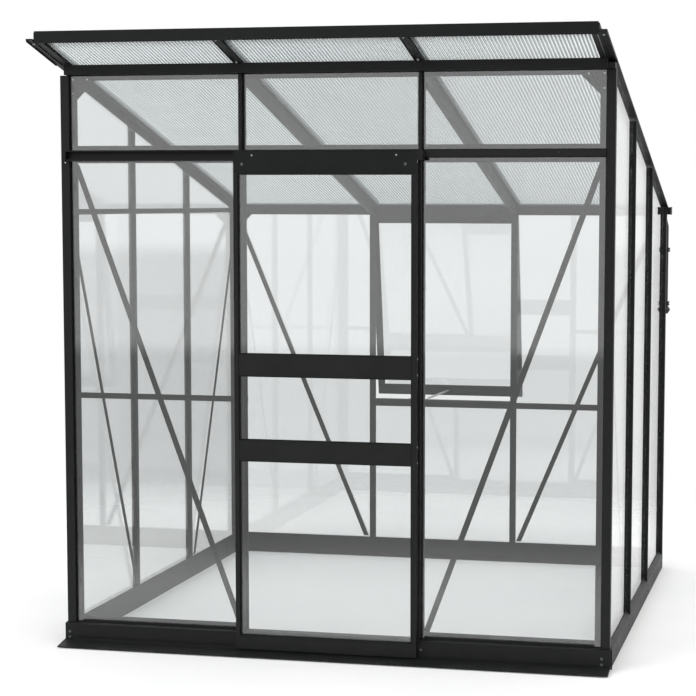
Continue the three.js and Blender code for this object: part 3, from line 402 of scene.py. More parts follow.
def new_object(name, data):
    """Object in the scene's collection."""
    thing = bpy.data.objects.new(name, data)
    bpy.context.scene.collection.objects.link(thing)
    return thing


def make_piece(name, mesh_bm, material, body):
    """Object from a bmesh that is already in the frame's place."""
    bmesh.ops.recalc_face_normals(mesh_bm, faces=mesh_bm.faces)
    mesh = new_mesh(name, mesh_bm)
    mesh.materials.append(material)
    piece = new_object(name, mesh)
    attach(piece, body)
    return piece


def coated_piece(name, mesh_bm, body="frame"):
    """A further piece of the black aluminium."""
    return make_piece(name, mesh_bm, black_coat(), body)


def soften(piece, width, segments=2):
    """Rounds the edges of a piece by a bevel of its real width."""
    bevel = piece.modifiers.new("rounded edges", "BEVEL")
    bevel.width = width
    bevel.segments = segments
    bevel.limit_method = "ANGLE"
    bevel.angle_limit = math.radians(35)
    bevel.use_clamp_overlap = True
    return piece


def coated_copy(node, material, width):
    """The CAD node's own shape with its edges rounded, in place of the node."""
    mesh_bm = bmesh.new()
    mesh_bm.from_mesh(FRAME["nodes"][node].data)
    bmesh.ops.remove_doubles(mesh_bm, verts=mesh_bm.verts, dist=mm(0.01))
    bmesh.ops.dissolve_limit(
        mesh_bm, angle_limit=math.radians(0.5), verts=mesh_bm.verts, edges=mesh_bm.edges
    )
    piece = make_piece(f"{node}_coated", mesh_bm, material, BODY_OF[node])
    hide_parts(node)
    return soften(piece, width)


def thicken(mesh_bm, faces, run):
    """Extrudes faces and moves the new ones by run."""
    grown = bmesh.ops.extrude_face_region(mesh_bm, geom=faces)
    moved = [item for item in grown["geom"] if isinstance(item, bmesh.types.BMVert)]
    bmesh.ops.translate(mesh_bm, verts=moved, vec=run)


def prism(mesh_bm, outline, run):
    """Closed prism: a face with the outline's points, extruded by run."""
    face = mesh_bm.faces.new([mesh_bm.verts.new(point) for point in outline])
    thicken(mesh_bm, [face], run)


def block(mesh_bm, x0, x1, y0, y1, z0, z1):
    """Straight strip between places on the plan, in millimetres."""
    outline = [at(x0, y0, z0), at(x1, y0, z0), at(x1, y1, z0), at(x0, y1, z0)]
    prism(mesh_bm, outline, Vector((0, 0, mm(z1 - z0))))


def ring(mesh_bm, x0, x1, y0, y1, z0, z1, width):
    """Strips along the four sides of an upright rectangle that faces along y."""
    block(mesh_bm, x0, x1, y0, y1, z0, z0 + width)
    block(mesh_bm, x0, x1, y0, y1, z1 - width, z1)
    block(mesh_bm, x0, x0 + width, y0, y1, z0 + width, z1 - width)
    block(mesh_bm, x1 - width, x1, y0, y1, z0 + width, z1 - width)


def roof_run(mesh_bm, section, y0, y1):
    """Strip down the roof; the section is places across and heights over the roof's level."""
    outline = [at(x, y0, roof_level(y0) + up) for x, up in section]
    prism(mesh_bm, outline, at(0, y1, roof_level(y1)) - at(0, y0, roof_level(y0)))


def roof_strip(mesh_bm, x0, x1, low, high, y0, y1):
    """Strip down the roof with a rectangular section."""
    roof_run(mesh_bm, [(x0, low), (x1, low), (x1, high), (x0, high)], y0, y1)


def turned(name, profile, steps, size=1):
    """Mesh of a round solid about Z; the profile is radii and heights in millimetres."""
    mesh_bm = bmesh.new()
    points = [mesh_bm.verts.new((mm(r * size), 0, mm(height * size))) for r, height in profile]
    edges = [mesh_bm.edges.new(pair) for pair in zip(points, points[1:])]
    bmesh.ops.spin(
        mesh_bm,
        geom=points + edges,
        axis=(0, 0, 1),
        cent=(0, 0, 0),
        angle=math.tau,
        steps=steps,
        use_merge=True,
    )
    bmesh.ops.remove_doubles(mesh_bm, verts=mesh_bm.verts, dist=mm(0.001))
    return new_mesh(name, mesh_bm)


def stamp(mesh_bm, shape, place, facing):
    """Sets a copy of a shape at a place, its Z axis turned to face a direction."""
    first = len(mesh_bm.verts)
    mesh_bm.from_mesh(shape)
    mesh_bm.verts.ensure_lookup_table()
    turn = Vector(facing).to_track_quat("Z", "Y").to_matrix().to_4x4()
    matrix = Matrix.Translation(place) @ turn
    bmesh.ops.transform(mesh_bm, matrix=matrix, verts=mesh_bm.verts[first:])


# The frame's finish
class CoatSettings(bpy.types.PropertyGroup):
    edge: length("Edge radius", "Rounding of the extrusions' edges", 0.6)


class GREENHOUSE_OT_coat(bpy.types.Operator):
    """Coat the aluminium, plastic and steel pieces and round their edges"""

    bl_idname = "greenhouse.coat"
    bl_label = "Coat the frame"

    def execute(self, context):
        settings = context.scene.greenhouse_coat
        makers = {
            "black_aluminium": black_coat,
            "fascia_aluminium": anthracite_coat,
            "black_plastic": black_plastic,
            "zinc_steel": zinc_steel,
        }
        for node, slot in SLOT_OF.items():
            if slot in makers:
                coated_copy(node, makers[slot](), settings.edge)
        return {"FINISHED"}


class GREENHOUSE_OT_glaze(bpy.types.Operator):
    """Give the panes their glass"""

    bl_idname = "greenhouse.glaze"
    bl_label = "Glaze the panes"

    def execute(self, context):
        glass = clear_glass()
        for node, slot in SLOT_OF.items():
            if slot == "clear_glass":
                for place in FRAME["nodes"][node].material_slots:
                    place.material = glass
        return {"FINISHED"}


# The roof
ROOF_SHEETS = ("roof_sheet_1", "roof_sheet_2", "roof_sheet_3")
FLANGE_EDGE = 15  # a roof bar's middle line to the edge of its flange
CAPPING_EDGE = 18  # and to the edge of its capping
GABLE_FLANGE = 50  # the roof's side to the edge of a rafter's flange
GABLE_CAPPING = 43  # and to the edge of its capping
LIP = 2  # thickness of the canopy's lips
LIP_TOP = 0.4  # they reach this far into the metal above


class SheetSettings(bpy.types.PropertyGroup):
    rib_pitch: length("Rib pitch", "Distance between ribs", 12.1)
    rib_foot: length("Rib foot", "Width of a rib at the skins", 3.5)
    wall: length("Rib wall", "Thickness of a rib", 0.8)


class GREENHOUSE_OT_sheets(bpy.types.Operator):
    """Build the twin-wall roof sheets with their ribs"""

    bl_idname = "greenhouse.sheets"
    bl_label = "Build the roof sheets"

    def execute(self, context):
        for node in ROOF_SHEETS:
            self.build(node, context.scene.greenhouse_sheets)
        return {"FINISHED"}

    def build(self, node, settings):
        low, high = plan_box(node)
        foot = low.z - roof_level(high.y)
        top = high.z - roof_level(low.y)
        skins, webs, feet = bmesh.new(), bmesh.new(), bmesh.new()
        roof_strip(skins, low.x, high.x, foot, top, low.y, high.y)
        skins = make_piece(f"{node}_skins", skins, sheet_skin(), "frame")
        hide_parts(node)
        count = round((high.x - low.x) / (settings.rib_pitch * 1000))
        step = (high.x - low.x) / count
        half_web, half_foot = settings.wall * 500, settings.rib_foot * 500
        ends = low.y + 0.5, high.y - 0.5
        gap, depth, rise = 1.4, 0.15, 1.2  # web to the faces, foot to the faces, foot's height
        for number in range(1, count):
            x = low.x + number * step
            near, far = x - half_web, x + half_web
            roof_strip(webs, near, far, foot + gap, top - gap, *ends)
            for level, up in ((foot + depth, rise), (top - depth, -rise)):
                section = [(x - half_foot, level), (x + half_foot, level)]
                section += [(far, level + up), (near, level + up)]
                roof_run(feet, section, *ends)
        make_piece(f"{node}_ribs", webs, sheet_skin(), "frame")
        # The feet's darker grey is painted shade, for the dark lines of the ribs
        make_piece(f"{node}_rib_feet", feet, rib_foot_painted_shade(), "frame")


class GREENHOUSE_OT_roof_seals(bpy.types.Operator):
    """Lay the rubber strips under the cappings and close the sheets' low ends"""

    bl_idname = "greenhouse.roof_seals"
    bl_label = "Seal the roof sheets"

    def execute(self, context):
        seals = bmesh.new()
        for line in BAR_LINES:
            for side in (-1, 1):
                self.pair(seals, line + side * FLANGE_EDGE, line + side * CAPPING_EDGE, side)
        self.pair(seals, GABLE_FLANGE, GABLE_CAPPING, 1)
        self.pair(seals, WIDTH - GABLE_FLANGE, WIDTH - GABLE_CAPPING, -1)
        soften(make_piece("roof_seals", seals, black_rubber(), "frame"), mm(0.4), 1)
        profiles = bmesh.new()
        gap, heights, lap, cover = 0.4, (4.2, 16.6), 14, 1.6
        for node in ROOF_SHEETS:
            low, high = plan_box(node)
            ends = high.y - lap, high.y + cover
            roof_strip(profiles, low.x + gap, high.x - gap, *heights, *ends)
        soften(coated_piece("sheet_end_profiles", profiles), mm(0.5))
        return {"FINISHED"}

    def pair(self, mesh_bm, flange, capping, side):
        """Seal between flange and sheet, and seal between sheet and capping."""
        for x, low, high in ((flange, 3.4, 5.2), (capping, 15.4, 18.4)):
            near, far = sorted((x + side * 0.2, x + side * 2.0))
            roof_strip(mesh_bm, near, far, low, high, CANOPY_END, DEPTH + 10)


class GREENHOUSE_OT_gable_lips(bpy.types.Operator):
    """Add the lips under the roof's overhanging edges and close the corner over the post"""

    bl_idname = "greenhouse.gable_lips"
    bl_label = "Add the gable lips"

    def execute(self, context):
        lips = bmesh.new()
        # Places from the roof's side and depths of the rafters' three lips
        for x, deep in ((-2.2, 5), (19.5, 3.5), (47.5, 3.5)):
            for place in (x, WIDTH - x - LIP):
                roof_strip(lips, place, place + LIP, -deep, LIP_TOP, -279, BEAM_FACE)
        # Plug over the right post, between beam and rafter
        block(lips, WIDTH - 23.5, WIDTH - 1, -22, 30, 1993.4, 2013)
        for x in BAR_LINES:
            for place in (x - FLANGE_EDGE, x + FLANGE_EDGE - LIP):
                roof_strip(lips, place, place + LIP, -3, LIP_TOP, CANOPY_END, BEAM_FACE)
        soften(coated_piece("gable_lips", lips), mm(0.4))
        # Bright strip beside the right rafter's web
        guide = bmesh.new()
        roof_strip(guide, 1893, 1894.6, -2.2, 0.3, -268, -30)
        soften(make_piece("gable_guide_strip", guide, stainless_steel(), "frame"), mm(0.3), 1)
        return {"FINISHED"}


# Clips, corner plates and bolts
LOW_CLIPS = [219, 580, 918, 1279]
TALL_CLIP = 1606  # further clip of the panes that reach the transom's height
UPPER_CLIPS = [1944, 1795]  # clips of the panes over the transom
TALL_PANES = 700  # the side walls' panes are tall enough for it up to here


class ClipSettings(bpy.types.PropertyGroup):
    wire: length("Wire", "Depth of a clip", 2.0)
    width: length("Width", "Width of a clip", 11)
    height: length("Height", "Height of a clip", 30)


class GREENHOUSE_OT_clips(bpy.types.Operator):
    """Hold the panes with spring wire clips beside the bars"""

    bl_idname = "greenhouse.clips"
    bl_label = "Clip the panes"

    def execute(self, context):
        settings = context.scene.greenhouse_clips
        shape = self.bend_clip(settings)
        half = settings.width * 500
        clips = bmesh.new()
        for wall in WALLS:
            for line in (POST_EDGE, *(line + STEM_EDGE for line in BAR_LINES)):
                for along, side in ((line, half), (DEPTH - line, -half)):
                    for level in self.levels(wall, along):
                        place = WALLS[wall](GLASS_FACE - 0.2, along + side, level)
                        stamp(clips, shape, place, -INWARDS[wall])
        piece = make_piece("glazing_clips", clips, blackened_steel(), "frame")
        soften(piece, settings.wire * 0.3, 1)
        bpy.data.meshes.remove(shape)
        return {"FINISHED"}

    def bend_clip(self, settings):
        """One clip: a band round an oblong with cut corners, its back at Z = 0."""
        mesh_bm = bmesh.new()
        wide, high, cut = settings.width / 2, settings.height / 2, mm(3)
        corners = [(wide, cut - high), (wide, high - cut), (wide - cut, high)]
        corners.append((cut - wide, high))
        corners += [(-x, -y) for x, y in corners]
        face = mesh_bm.faces.new([mesh_bm.verts.new((x, y, 0)) for x, y in corners])
        # The new face has no normal yet, so the inset ring is left without a width
        bmesh.ops.inset_region(
            mesh_bm,
            faces=[face],
            thickness=settings.wire,
            use_boundary=True,
            use_even_offset=True,
        )
        bmesh.ops.delete(mesh_bm, geom=[face], context="FACES_ONLY")
        thicken(mesh_bm, mesh_bm.faces[:], (0, 0, settings.wire))
        return new_mesh("clip", mesh_bm)

    def levels(self, wall, along):
        """Heights of the clips beside one bar, where the wall has a pane there."""
        middle = BAR_LINES[0] <= along <= BAR_LINES[1]
        if wall == "front":
            return UPPER_CLIPS if middle else [*UPPER_CLIPS, TALL_CLIP, *LOW_CLIPS]
        if wall == "rear":
            return LOW_CLIPS[:2] if middle else LOW_CLIPS
        return [*LOW_CLIPS, TALL_CLIP] if along < TALL_PANES else LOW_CLIPS


class GREENHOUSE_OT_gussets(bpy.types.Operator):
    """Fasten the chamfered plates in the corners of the high and the low wall"""

    bl_idname = "greenhouse.gussets"
    bl_label = "Fasten the corner plates"

    def execute(self, context):
        plates = bmesh.new()
        # Outlines in the left corners, along and up
        high = [(31, 1889), (50, 1908), (108, 1966), (132, 1990), (31, 1990)]
        low = [(31, 1436), (66, 1471), (102, 1507), (31, 1507)]
        for wall, outline in (("front", high), ("rear", low)):
            for mirror in (False, True):
                flat = [(WIDTH - x if mirror else x, z) for x, z in outline]
                points = [WALLS[wall](BAR_DEPTH + 0.3, x, z) for x, z in flat]
                prism(plates, points, INWARDS[wall] * mm(2))
        soften(coated_piece("corner_plates", plates), mm(0.5))
        return {"FINISHED"}


# Profiles of the fastenings: radii and heights over the surface
SCREW = [(0, 0), (5.2, 0), (5.2, 0.9), (3.9, 1.1), (3.7, 2.6), (2.9, 3.3), (1.7, 3.3)]
SCREW += [(1.5, 2.0), (0, 2.0)]
NUT = [(0, 0), (5.2, 0), (5.8, 0.7), (5.8, 4.2), (5.2, 4.9), (3.2, 4.9), (3.0, 7.0)]
NUT += [(2.4, 7.6), (0, 7.6)]
SMALL_SCREW = [(0, 0), (2.9, 0), (2.9, 0.5), (2.2, 1.4), (1.1, 1.7), (0.9, 0.9), (0, 0.9)]


class BoltSettings(bpy.types.PropertyGroup):
    size: FloatProperty(
        name="Size",
        description="Size of the bolts and screws against the real ones",
        default=1.0,
        subtype="FACTOR",
    )


class GREENHOUSE_OT_bolts(bpy.types.Operator):
    """Set the bolts and screws of the frame, the roof and the door"""

    bl_idname = "greenhouse.bolts"
    bl_label = "Set the bolts"

    def execute(self, context):
        size = context.scene.greenhouse_bolts.size
        self.screw = turned("screw", SCREW, 16, size)
        self.nut = turned("nut", NUT, 6, size)
        self.small = turned("small_screw", SMALL_SCREW, 12, size)
        self.set_bolts("door_bolts", self.on_door(), stainless_steel(), "door")
        heads = [(self.screw, (x, DOOR_HEAD_FACE, 1686), FRONT) for x in (665, 1232)]
        self.set_bolts("door_head_bolts", heads, blackened_steel(), "door")
        self.set_bolts("frame_bolts", self.on_frame(), stainless_steel(), "frame")
        dark = self.on_sill() + self.on_bases() + self.on_roof()
        self.set_bolts("dark_bolts", dark, blackened_steel(), "frame")
        for shape in (self.screw, self.nut, self.small):
            bpy.data.meshes.remove(shape)
        return {"FINISHED"}

    def on_door(self):
        """Small screws of the head's axles and of the right stile's rails."""
        head = [(self.small, (x, DOOR_HEAD_FACE, 1716.3), FRONT) for x in (700, 1201)]
        side = [(self.small, (DOOR_EDGE, -25, z), RIGHT) for z in (1036, 982, 739, 685)]
        return head + side

    def on_frame(self):
        """Bright fastenings: under the canopy, and in the high wall's corner plates."""
        bolts = [(self.small, (15, 0, 1694), FRONT)]
        bolts += [(self.screw, (x, -245, roof_level(-245)), ROOF_DOWN) for x in (12, WIDTH - 12)]
        holes = [(40, 1980), (92, 1980), (40, 1932)]
        holes += [(WIDTH - x, z) for x, z in holes]
        bolts += [(self.nut, (x, BAR_DEPTH + 0.3, z), FRONT) for x, z in holes]
        for x in BAR_LINES:
            bolts += [(self.nut, (x, y, roof_level(y)), ROOF_DOWN) for y in (-262, -40)]
        return bolts

    def on_sill(self):
        """Pairs at the sill's ends, one beside the door, and a small one on the transom."""
        face = -12
        bolts = [(self.screw, (x, face, z), FRONT) for x in (11.7, 1899.7) for z in (44.5, 24.5)]
        bolts.append((self.screw, (1282.5, face, 43.6), FRONT))
        bolts.append((self.small, (1741, -8.3, 1724), FRONT))
        return bolts

    def on_bases(self):
        """Pairs along the side bases, and a row along the low wall's base."""
        bolts = []
        for x, side in ((0, LEFT), (WIDTH, RIGHT)):
            for y in (48, 640, 1285, 1890):
                bolts += [(self.screw, (x, y, z), side) for z in (44, 22)]
        return bolts + [(self.screw, (x, DEPTH, 40), REAR) for x in (30, 640, 1285, 1860)]

    def on_roof(self):
        """Rows along the cappings, and one along the fascia's top."""
        capping, fascia, fascia_y = 27.5, 31.2, -266
        bolts = []
        for x in (32.5, *BAR_LINES, WIDTH - 32.5):
            for y in range(-160, DEPTH, 340):
                bolts.append((self.screw, (x, y, roof_level(y) + capping), ROOF_UP))
        top = roof_level(fascia_y) + fascia
        return bolts + [
            (self.small, (x, fascia_y, top), ROOF_UP) for x in range(200, WIDTH, 300)
        ]

    def set_bolts(self, name, bolts, material, body):
        mesh_bm = bmesh.new()
        for shape, place, facing in bolts:
            stamp(mesh_bm, shape, at(*place), facing)
        make_piece(name, mesh_bm, material, body)


# Trim of the walls
BEAD_GAP = 0.2  # pane to its bead
BEAD_REACH = 1.8  # pane to its bead's outer face
BEAD_THICK = 1.6


class BeadSettings(bpy.types.PropertyGroup):
    wall: length("Wall bead", "Width of the walls' beads", 2.2)
    door: length("Door bead", "Width of the door's beads", 3.2)
    window: length("Window bead", "Width of the window's beads", 3.4)


class GREENHOUSE_OT_beads(bpy.types.Operator):
    """Fit the rubber beads and foot channels of the walls' panes"""

    bl_idname = "greenhouse.beads"
    bl_label = "Fit the wall beads"

    def execute(self, context):
        width = context.scene.greenhouse_beads.wall * 1000
        beads = bmesh.new()
        for node, slot in SLOT_OF.items():
            if slot != "clear_glass" or BODY_OF[node] != "frame":
                continue
            low, high = plan_box(node)
            if "front" in node:
                faces = low.y - BEAD_REACH, low.y - BEAD_GAP
                ring(beads, low.x, high.x, *faces, low.z, high.z, width)
            elif "rear" in node:
                faces = high.y + BEAD_GAP, high.y + BEAD_REACH
                ring(beads, low.x, high.x, *faces, low.z, high.z, width)
            else:
                outside = low.x - BEAD_REACH if "left" in node else high.x + BEAD_GAP
                self.side_beads(beads, outside, low, high, width)
        soften(make_piece("wall_beads", beads, black_rubber(), "frame"), mm(0.5), 1)
        channels = bmesh.new()
        # Inner wall, outer wall and lip of the channels at the foot of the outer bays
        for x0, x1 in ((53.5, 636), (1289, WIDTH - 53.5)):
            block(channels, x0, x1, 17.5, 23.8, 77.4, 97)
            block(channels, x0, x1, 9.6, 12.6, 77.4, 86)
            block(channels, x0, x1, 20, 24.6, 97, 99)
        soften(coated_piece("pane_channels", channels), mm(0.6))
        return {"FINISHED"}

    def side_beads(self, mesh_bm, outside, low, high, width):
        """Beads on the outer face of a pane whose top follows the roof."""
        under_roof = 8.5
        for y0, y1 in ((low.y, low.y + width), (high.y - width, high.y)):
            outline = [at(outside, y0, low.z), at(outside, y1, low.z)]
            outline += [at(outside, y, roof_level(y) - under_roof) for y in (y1, y0)]
            prism(mesh_bm, outline, Vector((mm(BEAD_THICK), 0, 0)))
        ends = low.y + width, high.y - width
        block(mesh_bm, outside, outside + BEAD_THICK, *ends, low.z, low.z + width)


class GREENHOUSE_OT_braces(bpy.types.Operator):
    """Roll the stiffening ridge into the flat bars of the bracing"""

    bl_idname = "greenhouse.braces"
    bl_label = "Ridge the braces"

    def execute(self, context):
        ridges = bmesh.new()
        inner, outer = 27.2, 23.2  # faces of the braces, from the wall's outer face
        # Ends of one brace of each wall, along and up, and the share of it that has the ridge
        front = [(45, 1687), (638, 78)]
        rear = [(45, 1480), (622, 92)]
        side = [(33, 1470), (623, 90)]
        for mirror in (False, True):
            self.ridge(ridges, "front", front, mirror, inner, (0.03, 0.97))
            self.ridge(ridges, "front", front, mirror, outer, (0.04, 0.47))
            self.ridge(ridges, "front", front, mirror, outer, (0.53, 0.955))
            self.ridge(ridges, "rear", rear, mirror, inner, (0.02, 0.985))
            for wall in ("left", "right"):
                self.ridge(ridges, wall, side, mirror, inner, (0.03, 0.975))
        soften(coated_piece("brace_ridges", ridges), mm(0.6), 1)
        return {"FINISHED"}

    def ridge(self, mesh_bm, wall, ends, mirror, depth, share):
        """Low ridge along part of a brace's middle line."""
        spots = [(DEPTH - along if mirror else along, level) for along, level in ends]
        first, last = (WALLS[wall](depth, along, level) for along, level in spots)
        start, end = (first.lerp(last, part) for part in share)
        side = (end - start).normalized().cross(INWARDS[wall]) * mm(3)
        outline = [start - side, start + side, end + side, end - side]
        prism(mesh_bm, outline, INWARDS[wall] * mm(1))


# Trim of the door and the window
class GREENHOUSE_OT_door_trim(bpy.types.Operator):
    """Fit the door's glazing beads, edge lips and brush seals"""

    bl_idname = "greenhouse.door_trim"
    bl_label = "Trim the door"

    def execute(self, context):
        width = context.scene.greenhouse_beads.door * 1000
        beads, lips, brushes = bmesh.new(), bmesh.new(), bmesh.new()
        gap, reach = 0.2, 4.4
        for node in ("door_glass_low", "door_glass_middle", "door_glass_high"):
            low, high = plan_box(node)
            sides = low.x - gap, high.x + gap
            for faces in ((low.y - reach, low.y - gap), (high.y + gap, high.y + reach)):
                ring(beads, *sides, *faces, low.z - gap, high.z + gap, width)
        soften(make_piece("door_beads", beads, black_rubber(), "door"), mm(0.8), 1)
        proud, sunk, stile_lip, rail_lip = 0.9, 0.4, 1.6, 2
        stiles = [plan_box("door_stile_left"), plan_box("door_stile_right")]
        for low, high in stiles:
            faces = low.y - proud, low.y + sunk
            for x in (low.x + 0.6, high.x - 0.6 - stile_lip):
                block(lips, x, x + stile_lip, *faces, low.z + 1, high.z - 1)
        proud = 0.8
        for node in ("door_rail_low", "door_rail_high"):
            low, high = plan_box(node)
            for z in (low.z + 1, high.z - 1 - rail_lip):
                faces = low.y - proud, low.y + sunk
                block(lips, low.x, high.x, *faces, z, z + rail_lip)
        low, high = plan_box("door_foot_rail")
        faces = low.y - proud, low.y + sunk
        block(lips, low.x + 1, high.x - 1, *faces, high.z - 1 - rail_lip, high.z - 1)
        soften(coated_piece("door_lips", lips, "door"), mm(0.35), 1)
        half, pile = 2.5, 5.5
        for low, high in stiles:
            middle = (low.x + high.x) / 2
            faces = high.y, high.y + pile
            block(brushes, middle - half, middle + half, *faces, low.z + 4, high.z - 4)
        make_piece("door_brushes", brushes, brush_pile(), "door")
        return {"FINISHED"}


class GREENHOUSE_OT_window_trim(bpy.types.Operator):
    """Fit the window's glazing beads, edge lips and hinge knuckles"""

    bl_idname = "greenhouse.window_trim"
    bl_label = "Trim the window"

    def execute(self, context):
        width = context.scene.greenhouse_beads.window * 1000
        beads, lips = bmesh.new(), bmesh.new()
        # On the shut window: both sides of the pane, then the edges of the frame's outer face
        for faces in ((1929.5, 1933.8), (1938.2, 1942.5)):
            self.shut_ring(beads, 662.6, 1262.4, *faces, 734.8, 1471.2, width)
        soften(make_piece("window_beads", beads, black_rubber(), "window"), mm(0.8), 1)
        outer_face = 1945.6, 1946.9
        self.shut_ring(lips, 639, 1286, *outer_face, 700.2, 1496, 2)
        self.shut_ring(lips, 659.5, 1265.5, *outer_face, 731.5, 1474.5, 2)
        soften(coated_piece("window_lips", lips, "window"), mm(0.35), 1)
        profile = [(0, 0), (4.8, 0), (5.2, 0.5), (5.2, 59.5), (4.8, 60), (0, 60)]
        knuckle = turned("knuckle", profile, 20)
        for name, body, starts in (
            ("window_knuckles", "window", (645, 885, 1125)),
            ("rail_knuckles", "frame", (765, 1005, 1220)),
        ):
            knuckles = bmesh.new()
            for x in starts:
                stamp(knuckles, knuckle, at(x, HINGE_Y, HINGE_LEVEL), RIGHT)
            coated_piece(name, knuckles, body)
        bpy.data.meshes.remove(knuckle)
        return {"FINISHED"}

    def shut_ring(self, mesh_bm, x0, x1, y0, y1, z0, z1, width):
        """Ring drawn on the shut window, then swung out with it."""
        first = len(mesh_bm.verts)
        ring(mesh_bm, x0, x1, y0, y1, z0, z1, width)
        mesh_bm.verts.ensure_lookup_table()
        for vert in mesh_bm.verts[first:]:
            vert.co = swung(*((vert.co - PLAN_ZERO) * 1000))


# Sill, gutter and downpipe
class GREENHOUSE_OT_sill_lines(bpy.types.Operator):
    """Add the drip lines of the sill and the gutter's rolled edge and brackets"""

    bl_idname = "greenhouse.sill_lines"
    bl_label = "Line the sill and the gutter"

    def execute(self, context):
        lines = bmesh.new()
        # Drip lines along the sill, then the gutter's end stops, rolled edge and brackets
        for z in (71.5, 22.5):
            block(lines, -4, WIDTH + 4, -13, -11.6, z, z + 1.8)
        low, high = plan_box("rear_eave_gutter")
        stop = 2.6
        for x in (low.x + 0.1, high.x - 0.1 - stop):
            block(lines, x, x + stop, 1926.5, high.y + 1, 1509, 1542)
        block(lines, low.x, high.x, high.y - 1, high.y + 2.4, 1535.5, 1540.4)
        half = 12
        for x in (180, 600, 1325, 1740):
            block(lines, x - half, x + half, high.y - 0.4, high.y + 2, 1508.4, 1536)
            block(lines, x - half, x + half, 1927, high.y + 2, 1507.4, 1509.9)
        # Short tabs at the eave rail's inner foot
        for x, half in ((198, 16), (360, 12), (512, 22), (591, 11)):
            block(lines, x - half, x + half, 1897, 1901.4, 1507.2, 1513)
        soften(coated_piece("sill_and_gutter_lines", lines), mm(0.4))
        return {"FINISHED"}


class GREENHOUSE_OT_downpipe_seals(bpy.types.Operator):
    """Set the seal rings of the downpipe's collars"""

    bl_idname = "greenhouse.downpipe_seals"
    bl_label = "Seal the downpipe"

    def execute(self, context):
        seal = [(32.4, 0), (33.9, 0), (34.4, 0.8), (34.4, 2.2), (33.9, 3), (32.4, 3), (32.4, 0)]
        shape = turned("seal_ring", seal, 32)
        seals = bmesh.new()
        low, high = plan_box("downpipe")
        x, y = (low.x + high.x) / 2, (low.y + high.y) / 2
        for z in (1353, 1366, 1125, 1138):
            stamp(seals, shape, at(x, y, z), (0, 0, 1))
        make_piece("downpipe_seals", seals, black_rubber(), "frame")
        bpy.data.meshes.remove(shape)
        return {"FINISHED"}


# The stage
class StageSettings(bpy.types.PropertyGroup):
    camera_place: FloatVectorProperty(
        name="Camera place",
        description="Where the camera stands",
        default=(1.6995, -7.27996, 1.561),
        subtype="TRANSLATION",
    )
    camera_turn: FloatVectorProperty(
        name="Camera turn",
        description="Pitch down, roll, and turn towards the left, of a camera that looks back",
        default=(0.094, 0.002, 0.218),
        subtype="EULER",
    )
    lens: FloatProperty(
        name="Lens", description="Focal length", default=100.78, subtype="DISTANCE_CAMERA"
    )
    shift: FloatVectorProperty(
        name="Shift", description="Lens shift across and up", size=2, default=(-0.0924, 0.0540)
    )
    front_power: FloatProperty(
        name="Front lamp", description="Power of the front softbox", default=80, unit="POWER"
    )
    right_power: FloatProperty(
        name="Right lamp", description="Power of the right softbox", default=60, unit="POWER"
    )
    top_power: FloatProperty(
        name="Top lamp", description="Power of the top softbox", default=120, unit="POWER"
    )
    floor: colour("Floor", "Paler tone of the floor", "#f4f4f3")


def add_camera(settings):
    data = bpy.data.cameras.new("photo_camera")
    data.sensor_width = 36
    data.lens = settings.lens
    data.shift_x, data.shift_y = settings.shift
    data.clip_end = 100
    camera = new_object("photo_camera", data)
    pitch, roll, yaw = settings.camera_turn
    level = Matrix.Rotation(math.pi / 2 - pitch, 4, "X")
    turn = Matrix.Rotation(yaw, 4, "Z") @ level @ Matrix.Rotation(roll, 4, "Z")
    camera.matrix_world = Matrix.Translation(settings.camera_place) @ turn
    bpy.context.scene.camera = camera


def add_softbox(name, place, target, width, height, power):
    data = bpy.data.lights.new(name, "AREA")
    data.shape = "RECTANGLE"
    data.size, data.size_y = width, height
    data.energy = power
    lamp = new_object(name, data)
    aim = (Vector(target) - Vector(place)).to_track_quat("-Z", "Y")
    lamp.matrix_world = Matrix.Translation(place) @ aim.to_matrix().to_4x4()


def light_room():
    """World: a pale room with a darker foot, and plain white behind the object.

    The strengths of the foot follow what the photo's panes mirror. A direction has a part across,
    a part along, which is -1 towards the camera, and a part up, which is 0 on the level.
    """
    world = bpy.data.worlds.new("pale room")
    bpy.context.scene.world = world
    world.use_nodes = True
    tree = world.node_tree
    tree.nodes.clear()
    place = add_node(tree, "ShaderNodeTexCoord").outputs["Generated"]
    direction = add_node(tree, "ShaderNodeSeparateXYZ", {"Vector": place})
    across, along, up = (direction.outputs[axis] for axis in "XYZ")
    # The foot's edge lies lower towards the camera than at the sides
    edge = map_range(tree, along, -1.0, 0.0, 0.078, 0.024)
    above = map_range(tree, maths(tree, "ADD", up, edge), -0.004, 0.004, 0.0, 1.0)
    # The foot behind the object brightens from left to right, and is dim far to the right
    middle = map_range(tree, across, -0.06, 0.05, 0.6, 0.88)
    right = map_range(tree, across, 0.14, 0.32, 1.0, 0.3)
    behind = maths(tree, "MULTIPLY", middle, right)
    share = map_range(tree, along, -0.3, 0.3, 0.0, 1.0)
    foot = between(tree, share, 0.45, behind, "FLOAT")
    shade = between(tree, above, foot, 1.0, "FLOAT")
    room = add_node(tree, "ShaderNodeBackground", {"Color": WHITE, "Strength": shade})
    plain = add_node(tree, "ShaderNodeBackground", {"Color": WHITE, "Strength": 1.0})
    # Glossy rays keep the room itself, whose darker foot the photo's panes show
    path = add_node(tree, "ShaderNodeLightPath").outputs
    seen = maths(tree, "MAXIMUM", path["Is Camera Ray"], path["Is Transmission Ray"])
    mix = mix_shaders(tree, seen, room, plain)
    add_node(tree, "ShaderNodeOutputWorld", {"Surface": mix.outputs["Shader"]})


def add_floor(settings):
    mesh_bm = bmesh.new()
    bmesh.ops.create_circle(mesh_bm, cap_ends=True, segments=96, radius=3.6)
    mesh = new_mesh("studio_floor", mesh_bm)
    mesh.materials.append(floor_paint(settings))
    new_object("studio_floor", mesh)


